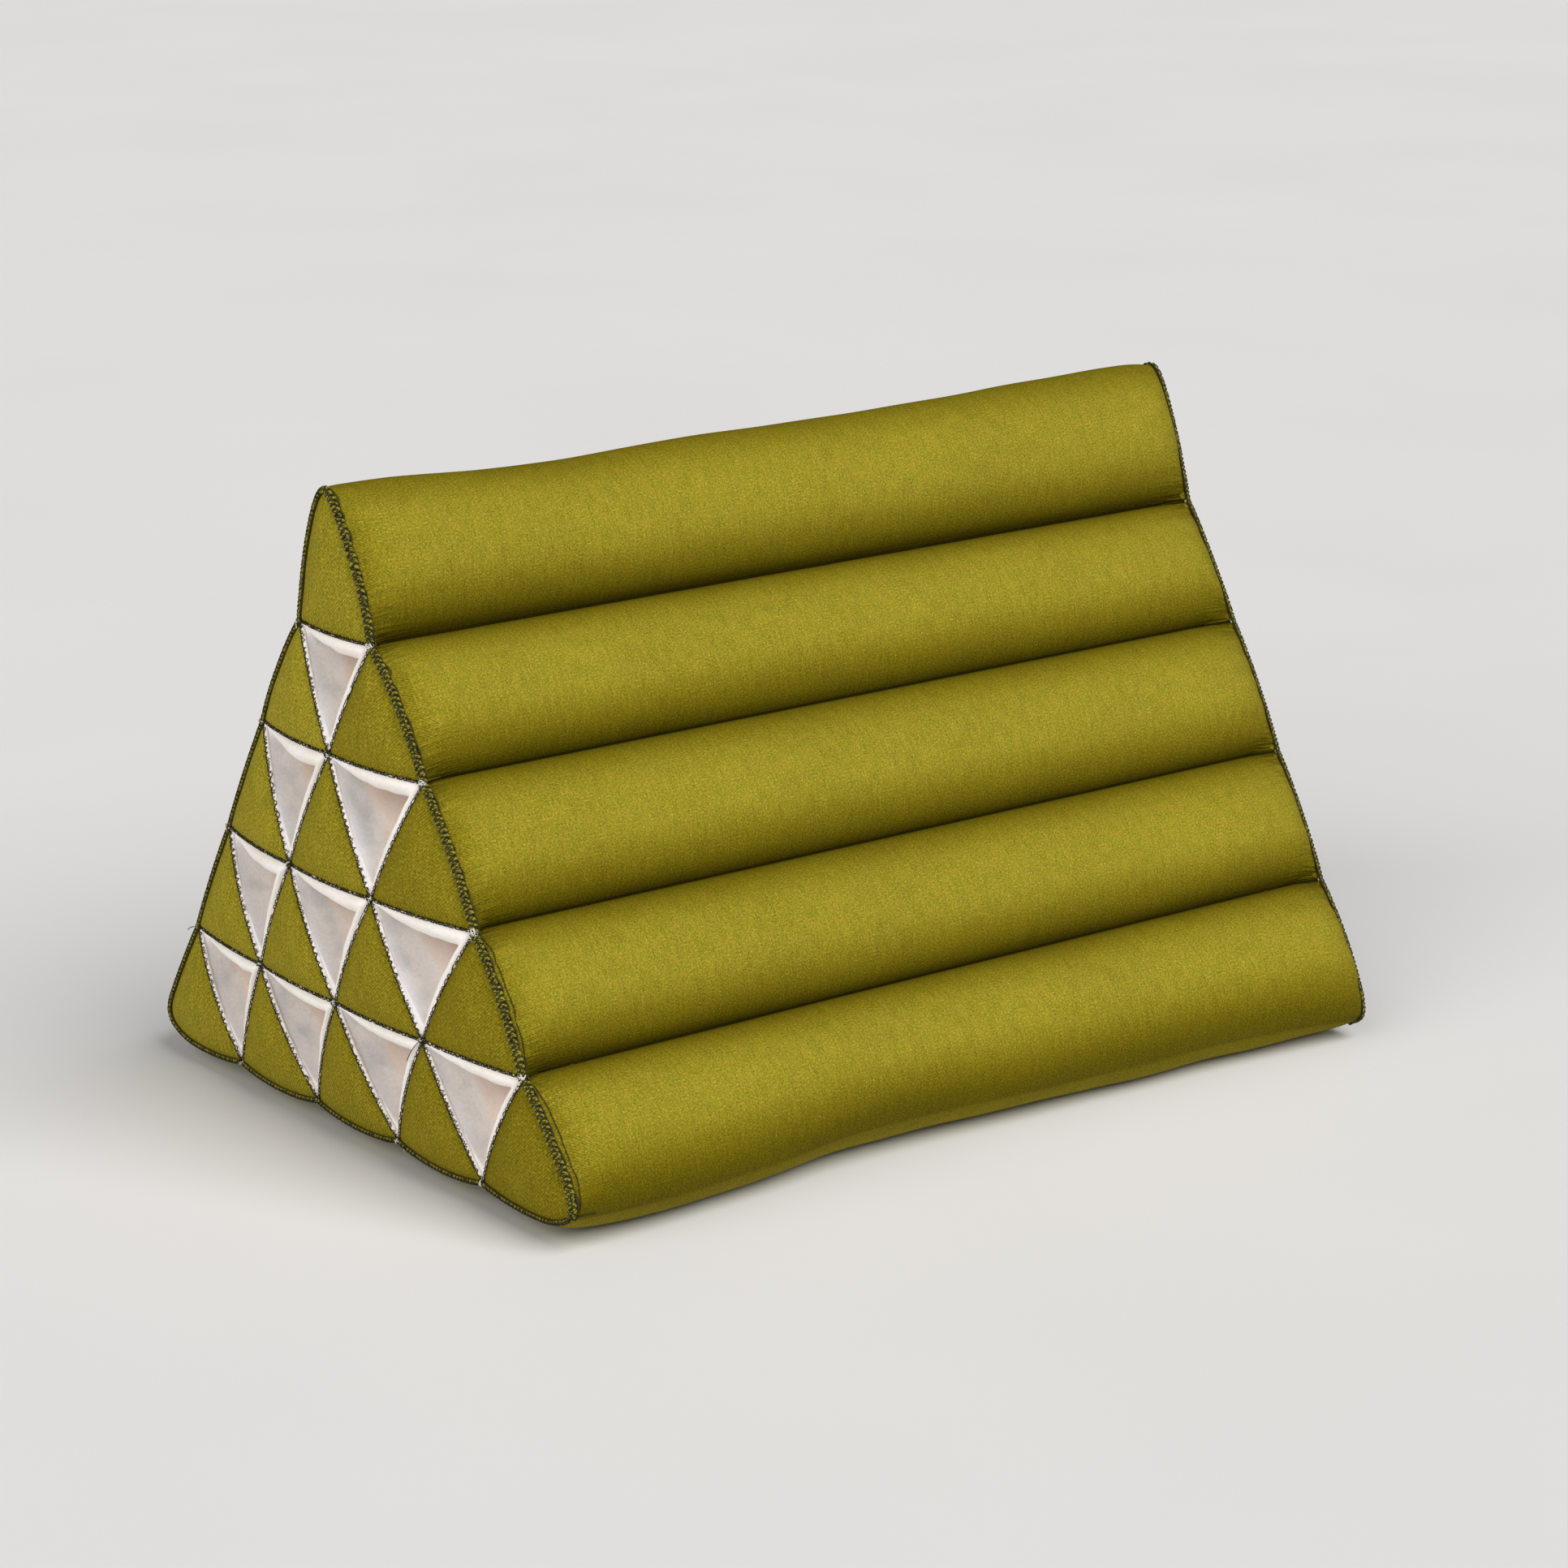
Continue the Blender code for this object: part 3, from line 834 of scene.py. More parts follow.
def rounded(section):
    """The section with the ridge and the two lower edges eased into round folds."""
    starts = roll_starts()
    steps = np.linalg.norm(np.roll(section[0], -1, 0) - section[0], axis=-1)
    run = np.concatenate([[0], np.cumsum(steps)])
    weight = np.zeros(section.shape[1])
    for number in FOLDED_EDGES:
        gap = np.abs(run[:-1] - run[starts[outer_corners().index(number)]])
        gap = np.minimum(gap, run[-1] - gap)
        weight = np.maximum(weight, np.exp(-((gap / ROUNDING_REACH) ** 2)))
    from_end = HALF_LENGTH * (1 - np.abs(stations()))
    strength = ROUNDING_MIDDLE + (1 - ROUNDING_MIDDLE) * np.exp(-from_end / ROUNDING_END)
    for _ in range(ROUNDING_PASSES):
        middle = (np.roll(section, 1, 1) + np.roll(section, -1, 1)) / 2
        section = section + (middle - section) * (strength[:, None] * weight[None])[..., None]
    return section


def relief_of_cover(points, from_end, seam_gap, outward):
    """How creases, gathers, tucks and dents move the cover's points."""
    x = points[..., 0]
    near_end, seam_gap = from_end[:, None], seam_gap[None]
    run = np.cumsum(np.linalg.norm(np.roll(points[0], -1, 0) - points[0], axis=-1))[None] + 0 * x
    crease = -CREASE_DEPTH * np.exp(-((seam_gap / CREASE_WIDTH) ** CREASE_POWER))
    crease = crease * (1 - np.exp(-near_end / CREASE_START))
    fold = ripple(np.stack([run / GATHER_PITCH, x / GATHER_RUN, 0 * x], -1), 3.7)
    fade = rising(near_end, GATHER_START) * np.exp(-near_end / GATHER_LENGTH)
    gathers = GATHER_DEPTH * fold * fade * rising(seam_gap, GATHER_CLEARANCE, 0.2)
    tuck = ripple(np.stack([x / TUCK_PITCH, run / TUCK_RUN, 0 * x], -1), 9.1)
    tucks = TUCK_DEPTH * tuck * np.exp(-seam_gap / TUCK_REACH) * rising(near_end, TUCK_START)
    tucks = tucks * rising(seam_gap, TUCK_CLEARANCE, 0.3)
    dents = DENT_DEPTH * ripple(points / DENT_SIZE, 5.3) * rising(near_end, DENT_START)
    dents = dents * rising(seam_gap, DENT_CLEARANCE)
    moved = (crease + gathers + tucks + dents)[..., None] * outward
    return np.concatenate([0 * moved[..., :1], moved], -1)


def stuffed(points, from_end, seam_gap):
    """The cover's points once it is stuffed. Its cloth was cut with nearly its full girth up to the ends,
    and the channel seams, the end seams and the floor hold it."""
    fullness = (1 - EXTRA_CLOTH * np.exp(-from_end / DRAW_IN["face"]))[:, None, None]
    cut = points + 0.0
    cut[..., 1:] += (points[len(points) // 2, :, 1:] - points[..., 1:]) * (1 - fullness)
    sewn = points[..., 2] < FLOOR_CLEARANCE
    sewn[[0, -1]] = True
    sewn[:, channel_steps()] = True
    loose = rising(seam_gap[None], SEAM_HOLD) * rising(from_end[:, None], SEAM_HOLD)
    loose = (loose * loose * (3 - 2 * loose))[..., None]
    pattern = Pattern()
    pattern.grid(points)
    piece = pattern.piece("stuffing", None)
    piece.shape_key_add(name="sewn")
    flat = piece.shape_key_add(name="cut")
    flat.data.foreach_set("co", cut.astype(np.float32).ravel())
    flat.value = 0.0
    group = piece.vertex_groups.new(name="sewn")
    group.add(np.flatnonzero(sewn.ravel()).tolist(), 1.0, "REPLACE")
    cloth = piece.modifiers.new("cloth", "CLOTH")
    for name, value in STUFFING_RULES.items():
        setattr(cloth.settings, name, value)
    cloth.settings.vertex_group_mass = "sewn"
    cloth.settings.rest_shape_key = flat
    cloth.settings.effector_weights.gravity = 0.0
    cloth.collision_settings.use_collision = False
    scene = bpy.context.scene
    for step in range(1, STUFFING_STEPS + 1):
        scene.frame_set(step)
    shaped = piece.evaluated_get(bpy.context.evaluated_depsgraph_get())
    moved = np.empty(len(piece.data.vertices) * 3, np.float32)
    shaped.data.vertices.foreach_get("co", moved)
    move = moved.reshape(points.shape) - points
    bpy.data.objects.remove(piece, do_unlink=True)
    scene.frame_set(1)
    length = np.linalg.norm(move, axis=-1, keepdims=True)
    return points + loose * move * np.minimum(1, STUFFING_REACH / np.maximum(length, 1e-9))


def channel_steps():
    """The steps round the section at which the channel seams run."""
    return [int(start) for start, number in zip(roll_starts(), outer_corners()) if number not in FOLDED_EDGES]


def build_cover(points, seam_gap, outward, material):
    """The filled cover, with its cloth turned in and closed behind each end."""
    rows = len(points)
    ring = points[rows // 2]
    girth = np.concatenate([[0], np.cumsum(np.linalg.norm(np.roll(ring, -1, 0) - ring, axis=-1))])
    u = np.concatenate([points[..., 0], points[:, :1, 0]], 1)
    uvs = np.stack([u, np.broadcast_to(girth[None], u.shape)], -1)
    out = np.concatenate([0 * points[..., :1], outward], -1)
    left, right = (
        np.stack([walked[station] - away[station] * inset for station, inset in SKIRT])
        for walked, away in ((points, out), (points[::-1], out[::-1]))
    )
    turned_in = len(SKIRT)
    uvs = np.concatenate([np.repeat(uvs[:1], turned_in, 0), uvs, np.repeat(uvs[-1:], turned_in, 0)])
    pattern = Pattern()
    pattern.grid(np.concatenate([left[::-1], points, right]), uvs, start="rungs", end="rungs")
    cover = pattern.piece("cover", material)
    from_end = np.clip(HALF_LENGTH - np.abs(stations() * HALF_LENGTH), 0, None)
    near_end = np.exp(-((from_end / GATHER_LENGTH) ** GATHER_FADE))
    near_end = np.concatenate([[1.0] * turned_in, near_end, [1.0] * turned_in])[:, None]
    strength = GATHER_EVERYWHERE + (1 - GATHER_EVERYWHERE) * np.exp(-seam_gap / GATHER_REACH)
    # Where the gathers' bumps and their painted shade show.
    mark(cover, "gathers_and_painted_shade", (near_end * strength[None]).ravel())
    # Painted shade beside the channel seams and near the end seams, which the finish turns into darker
    # colour.
    mark(cover, "painted_shade", np.maximum(painted_shade_round_section()[None], END_PAINTED_SHADE * near_end**2).ravel())
    crease_seams(cover, points.shape[1], (turned_in, turned_in + rows - 1))
    smooth(cover, 1)
    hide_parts("cushion_body")


def painted_shade_round_section():
    """The painted shade round the section: how dark the cloth is painted, from 0 to 1 at the channel seams.
    """
    depths = []
    for index in range(ROLLS):
        share = crowded(roll_steps(index))
        upper, lower = roll_corners(index)
        if index >= 2 * ROWS:
            share, upper, lower = 1 - share, lower, upper
        depth = np.interp(share, PAINTED_SHADE_PLACES, PAINTED_SHADE_DEPTHS)
        base = BASE_PAINTED_SHADE * np.interp(share + BASE_PAINTED_SHADE_START, PAINTED_SHADE_PLACES, PAINTED_SHADE_DEPTHS)
        for number, beside in ((upper, share < PAINTED_SHADE_TURN), (lower, share > PAINTED_SHADE_TURN)):
            if number in FOLDED_EDGES:
                depth = np.where(beside, APEX_PAINTED_SHADE * depth if number == APEX else base, depth)
        if roll_corners(index)[0] not in FOLDED_EDGES:
            depth[0] = SEAM_PAINTED_SHADE
        depths.append(depth)
    return np.concatenate(depths)


def crease_seams(cover, steps, end_rows):
    """Sharp edges along the channel seams, and round the rows of points at the two end seams."""
    mesh = cover.data
    ends = np.empty(len(mesh.edges) * 2, int)
    mesh.edges.foreach_get("vertices", ends)
    ends = ends.reshape(-1, 2)
    row, step = ends // steps, ends % steps
    along = (step[:, 0] == step[:, 1]) & np.isin(step[:, 0], channel_steps())
    round_end = (row[:, 0] == row[:, 1]) & np.isin(row[:, 0], end_rows)
    layer = mesh.attributes.new("crease_edge", "FLOAT", "EDGE")
    layer.data.foreach_set("value", (along | round_end).astype(np.float32))


def mark(piece, name, values):
    """A named value at each point of a piece, for its finish to read."""
    layer = piece.data.attributes.new(name, "FLOAT", "POINT")
    layer.data.foreach_set("value", np.asarray(values, np.float32))


def smooth(piece, levels):
    """One or more rounds of subdivision."""
    refine = piece.modifiers.new("smooth", "SUBSURF")
    refine.levels = refine.render_levels = levels


# The tube ends and the pockets


def edge_curve(start, end, side):
    """A tube end's inner edge between two seam corners, walked with its tube on the left."""
    share = np.linspace(0, 1, EDGE_STEPS + 1)
    first, last = seam_corner(start, side * HALF_LENGTH), seam_corner(end, side * HALF_LENGTH)
    along = last - first
    places = first + along * share[:, None] + right_of(along) * (EDGE_BOW * arch(share))[:, None]
    reach = end_reach(places) + EDGE_RISE * arch(share)
    return np.concatenate([(side * reach)[:, None], places], 1)


def outer_roll(start, end):
    """The cover's roll between two seam corners, or None inside the end."""
    for index in range(ROLLS):
        if roll_corners(index) == (start, end):
            return index
    return None


def cap_edges(row, place, side, seam_ring):
    """A tube end's three edges: down the front, along the bottom and up the back."""
    corners = cap_corners(row, place)
    starts = roll_starts()
    edges = []
    for index, start in enumerate(corners):
        end = corners[(index + 1) % 3]
        roll = outer_roll(start, end)
        if roll is None:
            edges.append(edge_curve(start, end, side))
        else:
            picked = np.arange(starts[roll], starts[roll + 1] + 1) % len(seam_ring)
            edges.append(seam_ring[picked])
    return edges


def build_cap(end, side, row, place, seam_ring, material):
    """A stuffed tube end: its crowned green triangle, closed behind by a shallow back."""
    rim = np.concatenate([edge[:-1] for edge in cap_edges(row, place, side, seam_ring)])
    corners = np.array([seam_corner(number, side * HALF_LENGTH) for number in cap_corners(row, place)])
    middle = np.concatenate([[0.0], corners.mean(0)])
    middle[0] = side * (end_reach(middle[1:]) + EDGE_MIDDLE)
    rings = []
    for share, depth in CAP_BACK:
        ring = middle + (rim - middle) * share
        ring[:, 0] -= side * depth
        rings.append(ring)
    for share in CAP_RINGS:
        ring = middle + (rim - middle) * share
        ring[:, 0] += side * (CAP_CROWN * (1 - share**2) + CAP_PUFF * (1 - share**CAP_PUFF_POWER))
        uneven = ripple(ring / CAP_UNEVEN_SIZE, 2.3 + row + 7 * place)
        ring[:, 0] += side * CAP_UNEVEN * uneven * (1 - share**4)
        rings.append(ring)
    rings = np.stack(rings)
    wide = np.concatenate([rings, rings[:, :1]], 1)
    uvs = np.stack([wide[..., 1] * side, wide[..., 2]], -1) * CAP_WEAVE
    pattern = Pattern()
    pattern.grid(rings, uvs, flip=side < 0, start="rungs", end="rungs")
    cap = pattern.piece(f"tube_end_{end}_{row}_{place + 1}", material)
    share = np.array([share for share, depth in CAP_BACK] + list(CAP_RINGS))
    # Painted shade: lower tube ends, front tube ends and the rims of each are painted darker.
    cap_painted_shade = CAP_ROW_PAINTED_SHADE * (row - 1) + CAP_FRONT_PAINTED_SHADE * (CAP_EVEN_PLACE - place / (row - 1) if row > 1 else 0.0)
    mark(cap, "painted_shade", np.repeat(cap_painted_shade + CAP_EDGE_PAINTED_SHADE * share**CAP_EDGE_POWER, len(rim)))
    smooth(cap, 1)
    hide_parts(f"cap_{end}_{row}_{place + 1}")


def pocket_rim(row, place, side):
    """A pocket's edges, down its front, up its back and home along its top, without their last points."""
    front, bottom, back = pocket_corners(row, place)
    walked = ((bottom, front), (back, bottom), (front, back))
    return [edge_curve(start, end, side)[::-1][:-1] for start, end in walked]


def clear_of_seams(rings, numbers, side):
    """Moves a lining's points until they are clear of the cover's seams at the corners of the pocket."""
    for number in numbers:
        front, back, under = number[1] == 0, number[1] == number[0], number[0] == ROWS
        if not (front or back or under):
            continue
        inwards = np.array((math.cos(FACE_LEAN) if front else -math.cos(FACE_LEAN), -math.sin(FACE_LEAN)))
        if under:
            inwards = np.array((0.0, 1.0))
        corner = seam_corner(number, side * HALF_LENGTH)
        depth = np.clip(end_reach(corner) - side * rings[..., 0], 0, None)
        held = CREASE_DEPTH * (1 - np.exp(-depth / CREASE_START)) + LINING_GAP
        if not under:
            held = held + channel_draw(depth)
        short = np.clip(held - (rings[..., 1:] - corner) @ inwards, 0, None)
        rings[..., 1:] += short[..., None] * inwards


def lip_outline(row, corners):
    """The inner outline of a pocket's lips in (y, z): three bowed edges between the lips' inner corners."""
    inner = []
    for index, (after, before) in enumerate(LIP_CORNERS):
        here = corners[index]
        inward = after * (corners[(index + 1) % 3] - here) + before * (corners[index - 1] - here)
        inner.append(here + LIP_SIZES[row - 1] * inward)
    share = np.arange(EDGE_STEPS) / EDGE_STEPS
    outline = []
    for index, bow in enumerate(LIP_BOWS):
        along = inner[(index + 1) % 3] - inner[index]
        outline.append(inner[index] + along * share[:, None] - right_of(along) * (bow * arch(share))[:, None])
    return np.concatenate(outline)


def lining_profile(lip, reach, rim, corners, shade):
    """A lining's rings from its edge over the lip and down the walls to the floor. Each has its places in
    (y, z), how far out of the rim it stands and its painted shade, as how deep in the pocket it looks."""
    width = np.linalg.norm(lip, axis=-1)
    rise = width * np.repeat(LIP_RISES, EDGE_STEPS)
    profile = [(rim + lip * u, rise * math.sin(math.pi * u**LIP_ROUND), 0 * width) for u in LIP_STEPS]
    profile += [(rim + lip * u, 0 * width - fall, shade) for u, fall in LIP_TUCK]
    hem_share, hem_fall = LIP_TUCK[-1]
    hem = rim + lip * hem_share
    middle = sum(share * corner for share, corner in zip(POCKET_MIDDLE, corners))
    depth = np.minimum(reach - BODY_END - FILLING_GAP, POCKET_DEPTH + POCKET_SLACK)
    top, bottom = corners[0][1], corners[1][1]
    for share in POCKET_RINGS:
        down = 1 - (1 - share) ** WALL_POWER
        places = hem + (middle - hem) * share**FLOOR_POWER
        # Painted shade: the walls are painted darker as they fall, and darker still on their upper part.
        upper = np.clip((places[:, 1] - bottom) / (top - bottom) - UPPER_PAINTED_SHADE_START, 0, 0.5) * 2
        looks = shade + (FLOOR_PAINTED_SHADE - shade) * down + UPPER_PAINTED_SHADE * upper * down**1.5
        profile.append((places, -(hem_fall + (depth - hem_fall) * down), looks))
    return profile


def rim_marks():
    """Painted skylight and painted shade round a pocket's rim: how bluish its cloth is there, and how deep in
    the pocket it already looks.
    """
    share = np.arange(EDGE_STEPS) / EDGE_STEPS
    front, back = RIM_PAINTED_SHADE["front"] + 0 * share, RIM_PAINTED_SHADE["back"] + 0 * share
    top = np.interp(share, (0, 0.2), (RIM_PAINTED_SHADE["back"], RIM_PAINTED_SHADE["front"]))
    bluish = [0 * share, np.interp(share, SKYLIGHT_PLACES, SKYLIGHT_BACK), SKYLIGHT_TOP * (1 - share) ** 2]
    return np.concatenate(bluish), np.concatenate([front, back, top])


def build_pocket(end, side, row, place, material):
    """A pocket's white lining: lips over the edges, walls down to the filling and a rounded floor."""
    edges = pocket_rim(row, place, side)
    rim = np.concatenate(edges)
    reach, corners = side * rim[:, 0], [edge[0, 1:] for edge in edges]
    lip = lip_outline(row, corners) - rim[:, 1:]
    lip = lip * (1 + LIP_UNEVEN * ripple(rim / LIP_UNEVEN_SIZE, 4.4 + row + 3 * place))[:, None]
    bluish, shade = rim_marks()
    profile = lining_profile(lip, reach, rim[:, 1:], corners, shade)
    rings = np.stack([
        np.concatenate([(side * (reach - LINING_SINK + out))[:, None], places], 1)
        for places, out, looks in profile
    ])
    lips = len(LIP_STEPS) + len(LIP_TUCK)
    uneven = ripple(rings[lips:] / LINING_UNEVEN_SIZE, 1.7 + row * 3 + place)
    rings[lips:, :, 1:] += LINING_UNEVEN * uneven[..., None]
    clear_of_seams(rings[len(LIP_STEPS) :], pocket_corners(row, place), side)
    run = np.linalg.norm(np.roll(rim, -1, 0) - rim, axis=-1)
    fall = np.linalg.norm(np.diff(rings, axis=0), axis=-1).mean(1)
    u, v = np.meshgrid(*(np.concatenate([[0], np.cumsum(steps)]) for steps in (run, fall)))
    pattern = Pattern()
    pattern.grid(rings, np.stack([u, v], -1), flip=side > 0, end="rungs")
    pocket = pattern.piece(f"pocket_lining_{end}_{row}_{place + 1}", material)
    # Painted shade and painted skylight on the lining, for its finish to turn into colour.
    mark(pocket, "painted_pocket_shade", np.concatenate([looks for places, out, looks in profile]))
    fade = np.concatenate([np.ones(lips), np.interp(POCKET_RINGS, SKYLIGHT_RINGS, (1, 0))])
    mark(pocket, "painted_skylight", (bluish[None] * fade[:, None]).ravel())
    smooth(pocket, 1)
    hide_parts(f"pocket_{end}_{row}_{place + 1}")


# The threads


def edge_frames(path, side):
    """Unit directions out of the end at an edge, and into the pocket beside it."""
    along = unit(np.gradient(path, axis=0))
    out = np.zeros_like(path)
    out[:, 0] = side
    out = unit(out - along * (along * out).sum(-1, keepdims=True))
    return out, np.cross(out, along) * -side


def inner_edges(side):
    """Every edge between a tube end and a pocket, walked as the tube's own, with its place on the tube."""
    for row in range(1, ROWS + 1):
        for place in range(row):
            corners = cap_corners(row, place)
            for index, facing in enumerate(("front", "bottom", "back")):
                start, end = corners[index], corners[(index + 1) % 3]
                if outer_roll(start, end) is None:
                    yield edge_curve(start, end, side), facing


def zigzag(turn):
    """A value that swings in straight lines from -1 to 1 and back, once a turn."""
    return np.abs(turn % 1 * 2 - 1) * 2 - 1


def uneven_hand(steps, every, size, rng):
    """How far a hand strays at each of the steps: a new amount every so many, and straight lines between."""
    return np.interp(steps, steps[::every], size * rng.standard_normal(len(steps[::every])))


def build_edges(end, side, materials, rng):
    """The white folded edges and the dark overcast stitches over them."""
    folds, stitches = Pattern(), Pattern()
    for path, facing in inner_edges(side):
        fold, swings, lift, line = EDGE_SEWING[facing]
        coarse = even_path(path, STITCH_PITCH / 2)
        out, inwards = edge_frames(coarse, side)
        swollen = fold * (1 + FOLD_UNEVEN * rng.standard_normal(len(coarse)))
        from_corner = np.minimum(np.arange(len(coarse)), np.arange(len(coarse))[::-1])
        fold_path = coarse + inwards * fold * FOLD_INSET + out * THREAD_LIFT
        tube(folds, fold_path, swollen * rising(from_corner, 3, 0.35), 8, (side, 0, 0))
        inset = fold * LINE_INSET + LINE_UNEVEN * rng.standard_normal((len(coarse), 1))
        tube(stitches, coarse - inwards * inset + out * lift * 0.5, line, 5, (side, 0, 0))
        fine = even_path(coarse, STITCH_PITCH / STITCH_STEPS)
        out, inwards = edge_frames(fine, side)
        steps = np.arange(len(fine))
        for phase, over_green, over_white in swings:
            turn = steps / STITCH_STEPS + phase + uneven_hand(steps, *STITCH_UNEVEN["turn"], rng)
            reach = 1 + uneven_hand(steps, *STITCH_UNEVEN["reach"], rng)
            swing = zigzag(turn)
            across = fold * FOLD_INSET + np.where(swing > 0, swing * over_white, swing * over_green) * reach
            over = lift + STITCH_HEIGHT - (lift - STITCH_HEIGHT) * swing**2
            sewn = fine + inwards * across[:, None] + out * over[:, None]
            tube(stitches, sewn[::2], STITCH_RADIUS, 4, (side, 0.02, 0.01))
    folds.piece(f"edge_fold_{end}", materials["white"])
    stitches.piece(f"edge_stitches_{end}", materials["dark"])


def leaf(length, width, height):
    """A small thread loop seen from above, as rings of points round its long axis."""
    share = np.linspace(LEAF_TIP, 1 - LEAF_TIP, LEAF_RINGS)
    turn = 2 * math.pi * np.arange(LEAF_SIDES) / LEAF_SIDES
    girth = np.sin(math.pi * share) ** LEAF_ROUND
    x = (share - 0.5)[:, None] * length + 0 * turn[None]
    y = girth[:, None] * np.cos(turn)[None] * width / 2
    z = girth[:, None] * np.sin(turn)[None] * height / 2
    return np.stack([x, y, z], -1)


def seam_frames(path, side, centre):
    """Directions along an end seam, out over its corner and across its band."""
    along = unit(np.roll(path, -1, 0) - np.roll(path, 1, 0))
    end_out = np.zeros_like(path)
    end_out[:, 0] = side
    away = np.cross(along, end_out)
    away = away * np.sign((away * (path - centre)).sum(-1, keepdims=True))
    out = unit(end_out + unit(away))
    return along, out, np.cross(along, out)


def braid_places(seam_ring, pitch, side):
    """Even places along an end's braid, with the directions along it, out of it and across it to the cover,
    and how wide it is there as a share of its full width."""
    path = even_path(seam_ring, pitch, loop=True)
    along, out, across = seam_frames(path, side, seam_ring.mean(0))
    if (across[:, 0] * side).mean() > 0:
        across = -across
    path = path - across * BRAID_SHIFT
    width = np.where(path[:, 2] < FLOOR_LIFT + BRAID_FLOOR_REACH, BRAID_FLOOR_WIDTH, 1.0)
    width = (np.roll(width, 1) + width + np.roll(width, -1)) / 3
    return path, along, out, across, width


def build_overlock(end, side, seam_ring, materials, rng):
    """The braided overlock round an end: two columns of slanted green loops on a dark bed, with thread that
    crosses over them."""
    path, along, out, across, width = braid_places(seam_ring, BRAID_PITCH, side)
    loops, bed = Pattern(), Pattern()
    template = leaf(*BRAID_LEAF)
    for column in (-1, 1):
        shifted = path + along * (0.5 * BRAID_PITCH * (column > 0))
        uneven = rng.standard_normal((len(path), 2)) * BRAID_UNEVEN
        for at, on, up, aside, wide, (turned, fuller) in zip(shifted, along, out, across, width, uneven):
            angle = column * (BRAID_SLANT + BRAID_SLANT_UNEVEN * turned)
            long = on * math.cos(angle) + aside * math.sin(angle)
            flat = template[..., :1] * long + template[..., 1:2] * np.cross(up, long) * (1 + fuller)
            middle = at + aside * column * BRAID_COLUMN * wide + up * BRAID_LIFT
            points = middle + flat * wide + template[..., 2:] * up
            loops.grid(points, start=points[0].mean(0), end=points[-1].mean(0))
    section = np.array(BED_SECTION)[None]
    bed_rings = path[:, None] + across[:, None] * section[..., :1] * BRAID_WIDTH * width[:, None, None]
    bed.grid(bed_rings + out[:, None] * section[..., 1:] * BED_THICKNESS, loop=True)
    place = BORDER_PLACE * BRAID_WIDTH * width + BORDER_UNEVEN * rng.standard_normal(len(path))
    thick = BORDER_RADIUS * (1 + BORDER_RADIUS_UNEVEN * rng.standard_normal(len(path)))
    border = path + across * place[:, None] + out * BORDER_LIFT
    tube(bed, border, np.clip(thick, BORDER_LEAST_RADIUS, None), 5, (0.3 * side, 0.2, 0.1), loop=True)
    path, along, out, across, width = braid_places(seam_ring, CROSS_PITCH / CROSS_STEPS, side)
    steps = np.arange(len(path))
    for phase in (0.0, 0.5):
        swing = zigzag(steps / CROSS_STEPS + phase + uneven_hand(steps, *CROSS_UNEVEN, rng))
        height = CROSS_HEIGHT * (1 - CROSS_FALL * swing**2)
        crossing = path + across * (CROSS_SWING * swing * width)[:, None] + out * height[:, None]
        tube(bed, crossing, CROSS_RADIUS, 4, (0.3 * side, 0.2, 0.1), loop=True)
    loops.piece(f"overlock_loops_{end}", materials["green"])
    bed.piece(f"overlock_bed_{end}", materials["dark"])


def add_knot(pattern, at, kind, size, count, radius, rng):
    """A tangle of small thread loops round a place."""
    turn = (2 * math.pi * np.arange(KNOT_STEPS) / KNOT_STEPS)[:, None]
    for _ in range(count):
        axis = unit(rng.standard_normal(3) * KNOT_TURNS[kind])
        first = unit(np.cross(axis, rng.standard_normal(3)))
        second = np.cross(axis, first)
        reach = size * (KNOT_SIZE[kind] + KNOT_SIZE_UNEVEN * rng.random())
        loop = at + reach * (np.cos(turn) * first + KNOT_FLATNESS * np.sin(turn) * second)
        tube(pattern, loop, radius, 5, axis, loop=True)


def add_loose_end(pattern, at, side, rng):
    """A loose thread end that hangs in a curl from a knot."""
    turns = [np.zeros(3), rng.standard_normal(3), rng.standard_normal(3) - (0, 0, LOOSE_END_DROP)]
    bends = LOOSE_END * np.cumsum(turns * np.array(LOOSE_END_SPREAD), 0)
    first, second, third = at + bends + (side * LOOSE_END_LIFT, 0, 0)
    share = np.linspace(0, 1, LOOSE_END_STEPS)[:, None]
    curl = first * (1 - share) ** 2 + second * 2 * share * (1 - share) + third * share**2
    tube(pattern, curl, LOOSE_END_RADIUS, 5, (side, 0.1, 0.2))


def build_knots(end, side, materials, rng):
    """Small tangles of pale and dark thread where the corners of the tubes are tied together."""
    pale, dark = Pattern(), Pattern()
    numbers = [(row, place) for row in range(1, ROWS + 1) for place in range(row + 1)]
    for row, place in numbers:
        if (row, place) in (FRONT_CORNER, BACK_CORNER):
            continue
        y, z = seam_corner((row, place), side * HALF_LENGTH)
        at = np.array([side * (end_reach(np.array([y, z])) + KNOT_LIFT), y, z])
        kind = "wrapped" if place == 0 and side < 0 else "plain"
        size = 1.0 if side < 0 else RIGHT_KNOTS
        tied = at - (side * KNOT_LIFT * (1 - size) / (1 - RIGHT_KNOTS), 0, 0)
        add_knot(pale, tied, kind, size, KNOT_COUNT[kind], KNOT_RADIUS["pale"], rng)
        add_knot(dark, tied, kind, size, DARK_KNOTS, KNOT_RADIUS["dark"], rng)
        if side < 0 and (row + 2 * place) % 3 == 0:
            add_loose_end(pale if row % 2 else dark, at, side, rng)
    pale.piece(f"knots_pale_{end}", materials["pale"])
    dark.piece(f"knots_dark_{end}", materials["dark"])


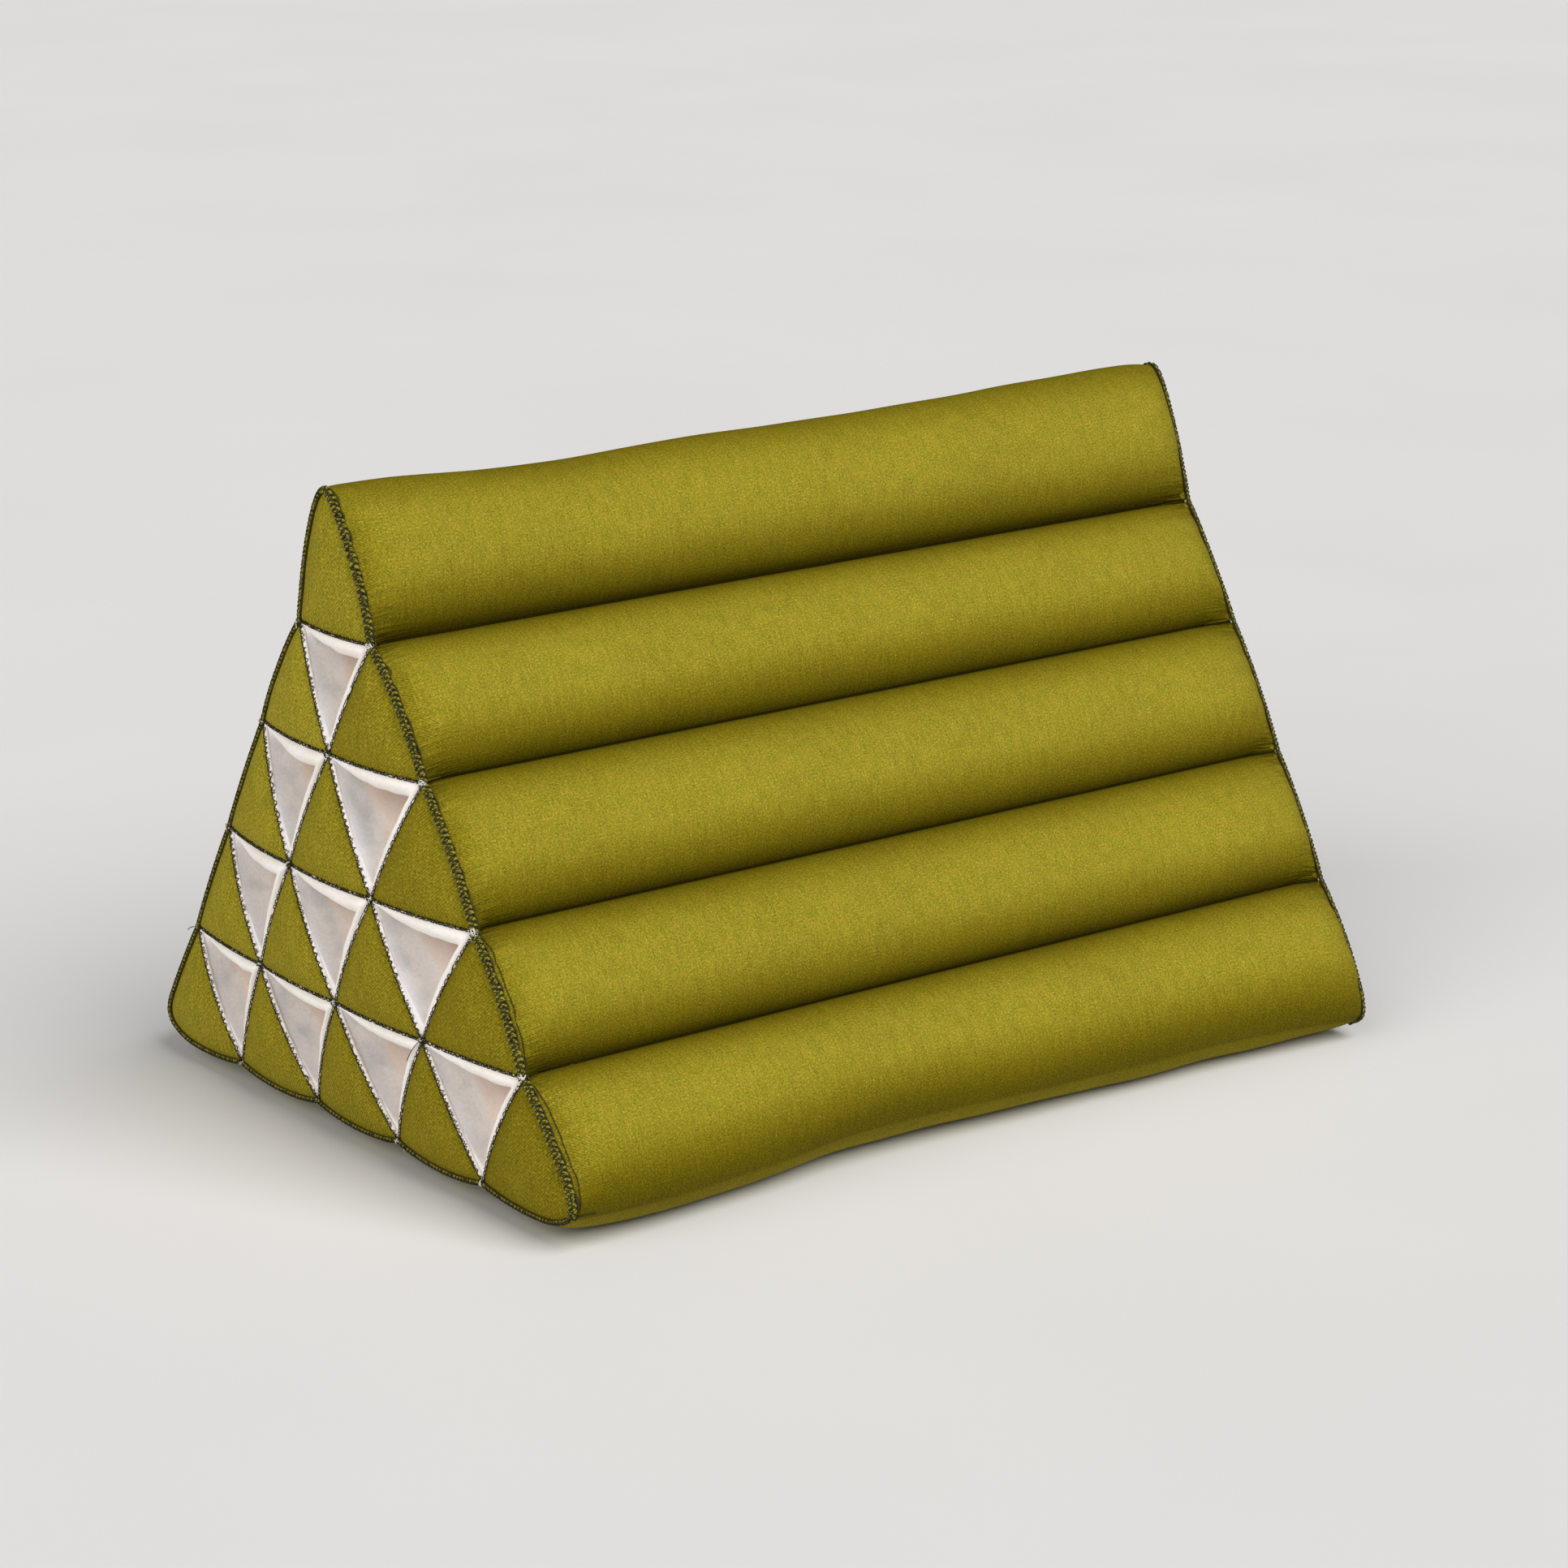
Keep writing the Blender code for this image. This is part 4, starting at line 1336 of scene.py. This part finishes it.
def build_top_stitch(points, material):
    """The straight dark top stitch beside the left end's braid, down the two lowest rolls of the front."""
    starts = roll_starts()
    first, last = starts[TOP_STITCH_ROLLS[0]], starts[TOP_STITCH_ROLLS[-1] + 1]
    path = points[TOP_STITCH_STATION, first : last + 1]
    along = unit(np.gradient(path, axis=0))
    out = unit(np.cross((1.0, 0.0, 0.0), along))
    out = out * np.sign((out * (path - points[TOP_STITCH_STATION].mean(0))).sum(-1, keepdims=True))
    line = even_path(path + out * THREAD_LIFT, STITCH_PITCH / TOP_STITCH_STEPS)
    sewn = Pattern()
    dip = 1 - TOP_STITCH_DIP * (np.arange(len(line)) % TOP_STITCH_STEPS == 0)
    tube(sewn, line, TOP_STITCH_RADIUS * dip, 5, (1.0, 0.0, 0.0))
    tack = points[slice(*TACK_STATIONS), last - TACK_PLACE] + out[-TACK_PLACE] * TOP_STITCH_RADIUS
    tube(sewn, tack, TOP_STITCH_RADIUS, 5, (0.0, 0.3, 1.0))
    sewn.piece("top_stitch_left", material)


# The studio


def build_floor():
    """A wide pale floor that stays where it is."""
    turn = 2 * math.pi * np.arange(FLOOR_STEPS) / FLOOR_STEPS
    rings = [np.stack([r * np.cos(turn), r * np.sin(turn), 0 * turn], -1) for r in FLOOR_RADII]
    pattern = Pattern()
    pattern.grid(np.stack(rings), start=np.zeros(3))
    floor = pattern.piece("studio_floor", pale_floor())
    floor.parent = None
    floor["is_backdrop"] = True


def add_sun(name, towards, spread, strength, colour):
    """A wide soft light from a direction, spread degrees across."""
    lamp = bpy.data.lights.new(name, "SUN")
    lamp.angle, lamp.energy, lamp.color = math.radians(spread), strength, colour
    holder = bpy.data.objects.new(name, lamp)
    holder.rotation_euler = Vector(towards).to_track_quat("Z", "Y").to_euler()
    bpy.context.scene.collection.objects.link(holder)


def add_camera():
    """The photograph's camera."""
    azimuth, elevation = math.radians(CAMERA_AZIMUTH_DEGREES), math.radians(CAMERA_ELEVATION_DEGREES)
    level = math.cos(elevation)
    backward = Vector((math.sin(azimuth) * level, -math.cos(azimuth) * level, math.sin(elevation)))
    rightward = Vector((0, 0, 1)).cross(backward).normalized()
    turned = Matrix((rightward, backward.cross(rightward), backward)).transposed().to_4x4()
    camera = bpy.data.cameras.new("camera")
    camera.sensor_width = CAMERA_SENSOR
    camera.lens = FOCAL_PIXELS / PHOTO_PIXELS * CAMERA_SENSOR
    holder = bpy.data.objects.new("camera", camera)
    holder.matrix_world = Matrix.Translation(CAMERA_PLACE) @ turned
    bpy.context.scene.collection.objects.link(holder)
    bpy.context.scene.camera = holder


def add_studio():
    """A pale floor, soft light from above and from the left, a pale sky and the camera."""
    build_floor()
    for name, light in LIGHTS.items():
        add_sun(name, *light)
    world = bpy.data.worlds.new("pale_sky")
    world.use_nodes = True
    sky = world.node_tree.nodes["Background"]
    sky.inputs["Color"].default_value = SKY_COLOUR
    sky.inputs["Strength"].default_value = SKY_STRENGTH
    bpy.context.scene.world = world
    bpy.context.scene.view_settings.view_transform = "Standard"
    add_camera()


def build_cushion():
    """The whole cushion, from its cover to its threads."""
    green, white = green_twill(), white_cotton()
    materials = {"white": white} | {kind: thread(kind) for kind in THREADS}
    points, seam_gap, outward = cover_surface()
    build_cover(points, seam_gap, outward, green)
    rng = np.random.default_rng(HAND_SEED)
    for end, side in ENDS.items():
        seam_ring = points[0] if side < 0 else points[-1]
        for row in range(1, ROWS + 1):
            for place in range(row):
                build_cap(end, side, row, place, seam_ring, green)
        for row in range(1, ROWS):
            for place in range(row):
                build_pocket(end, side, row, place, white)
        build_edges(end, side, materials, rng)
        build_overlock(end, side, seam_ring, materials, rng)
        build_knots(end, side, materials, rng)
    build_top_stitch(points, materials["dark"])


build_cushion()
add_studio()
[[list(corner) for corner in box] for box in (cad_box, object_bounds())]
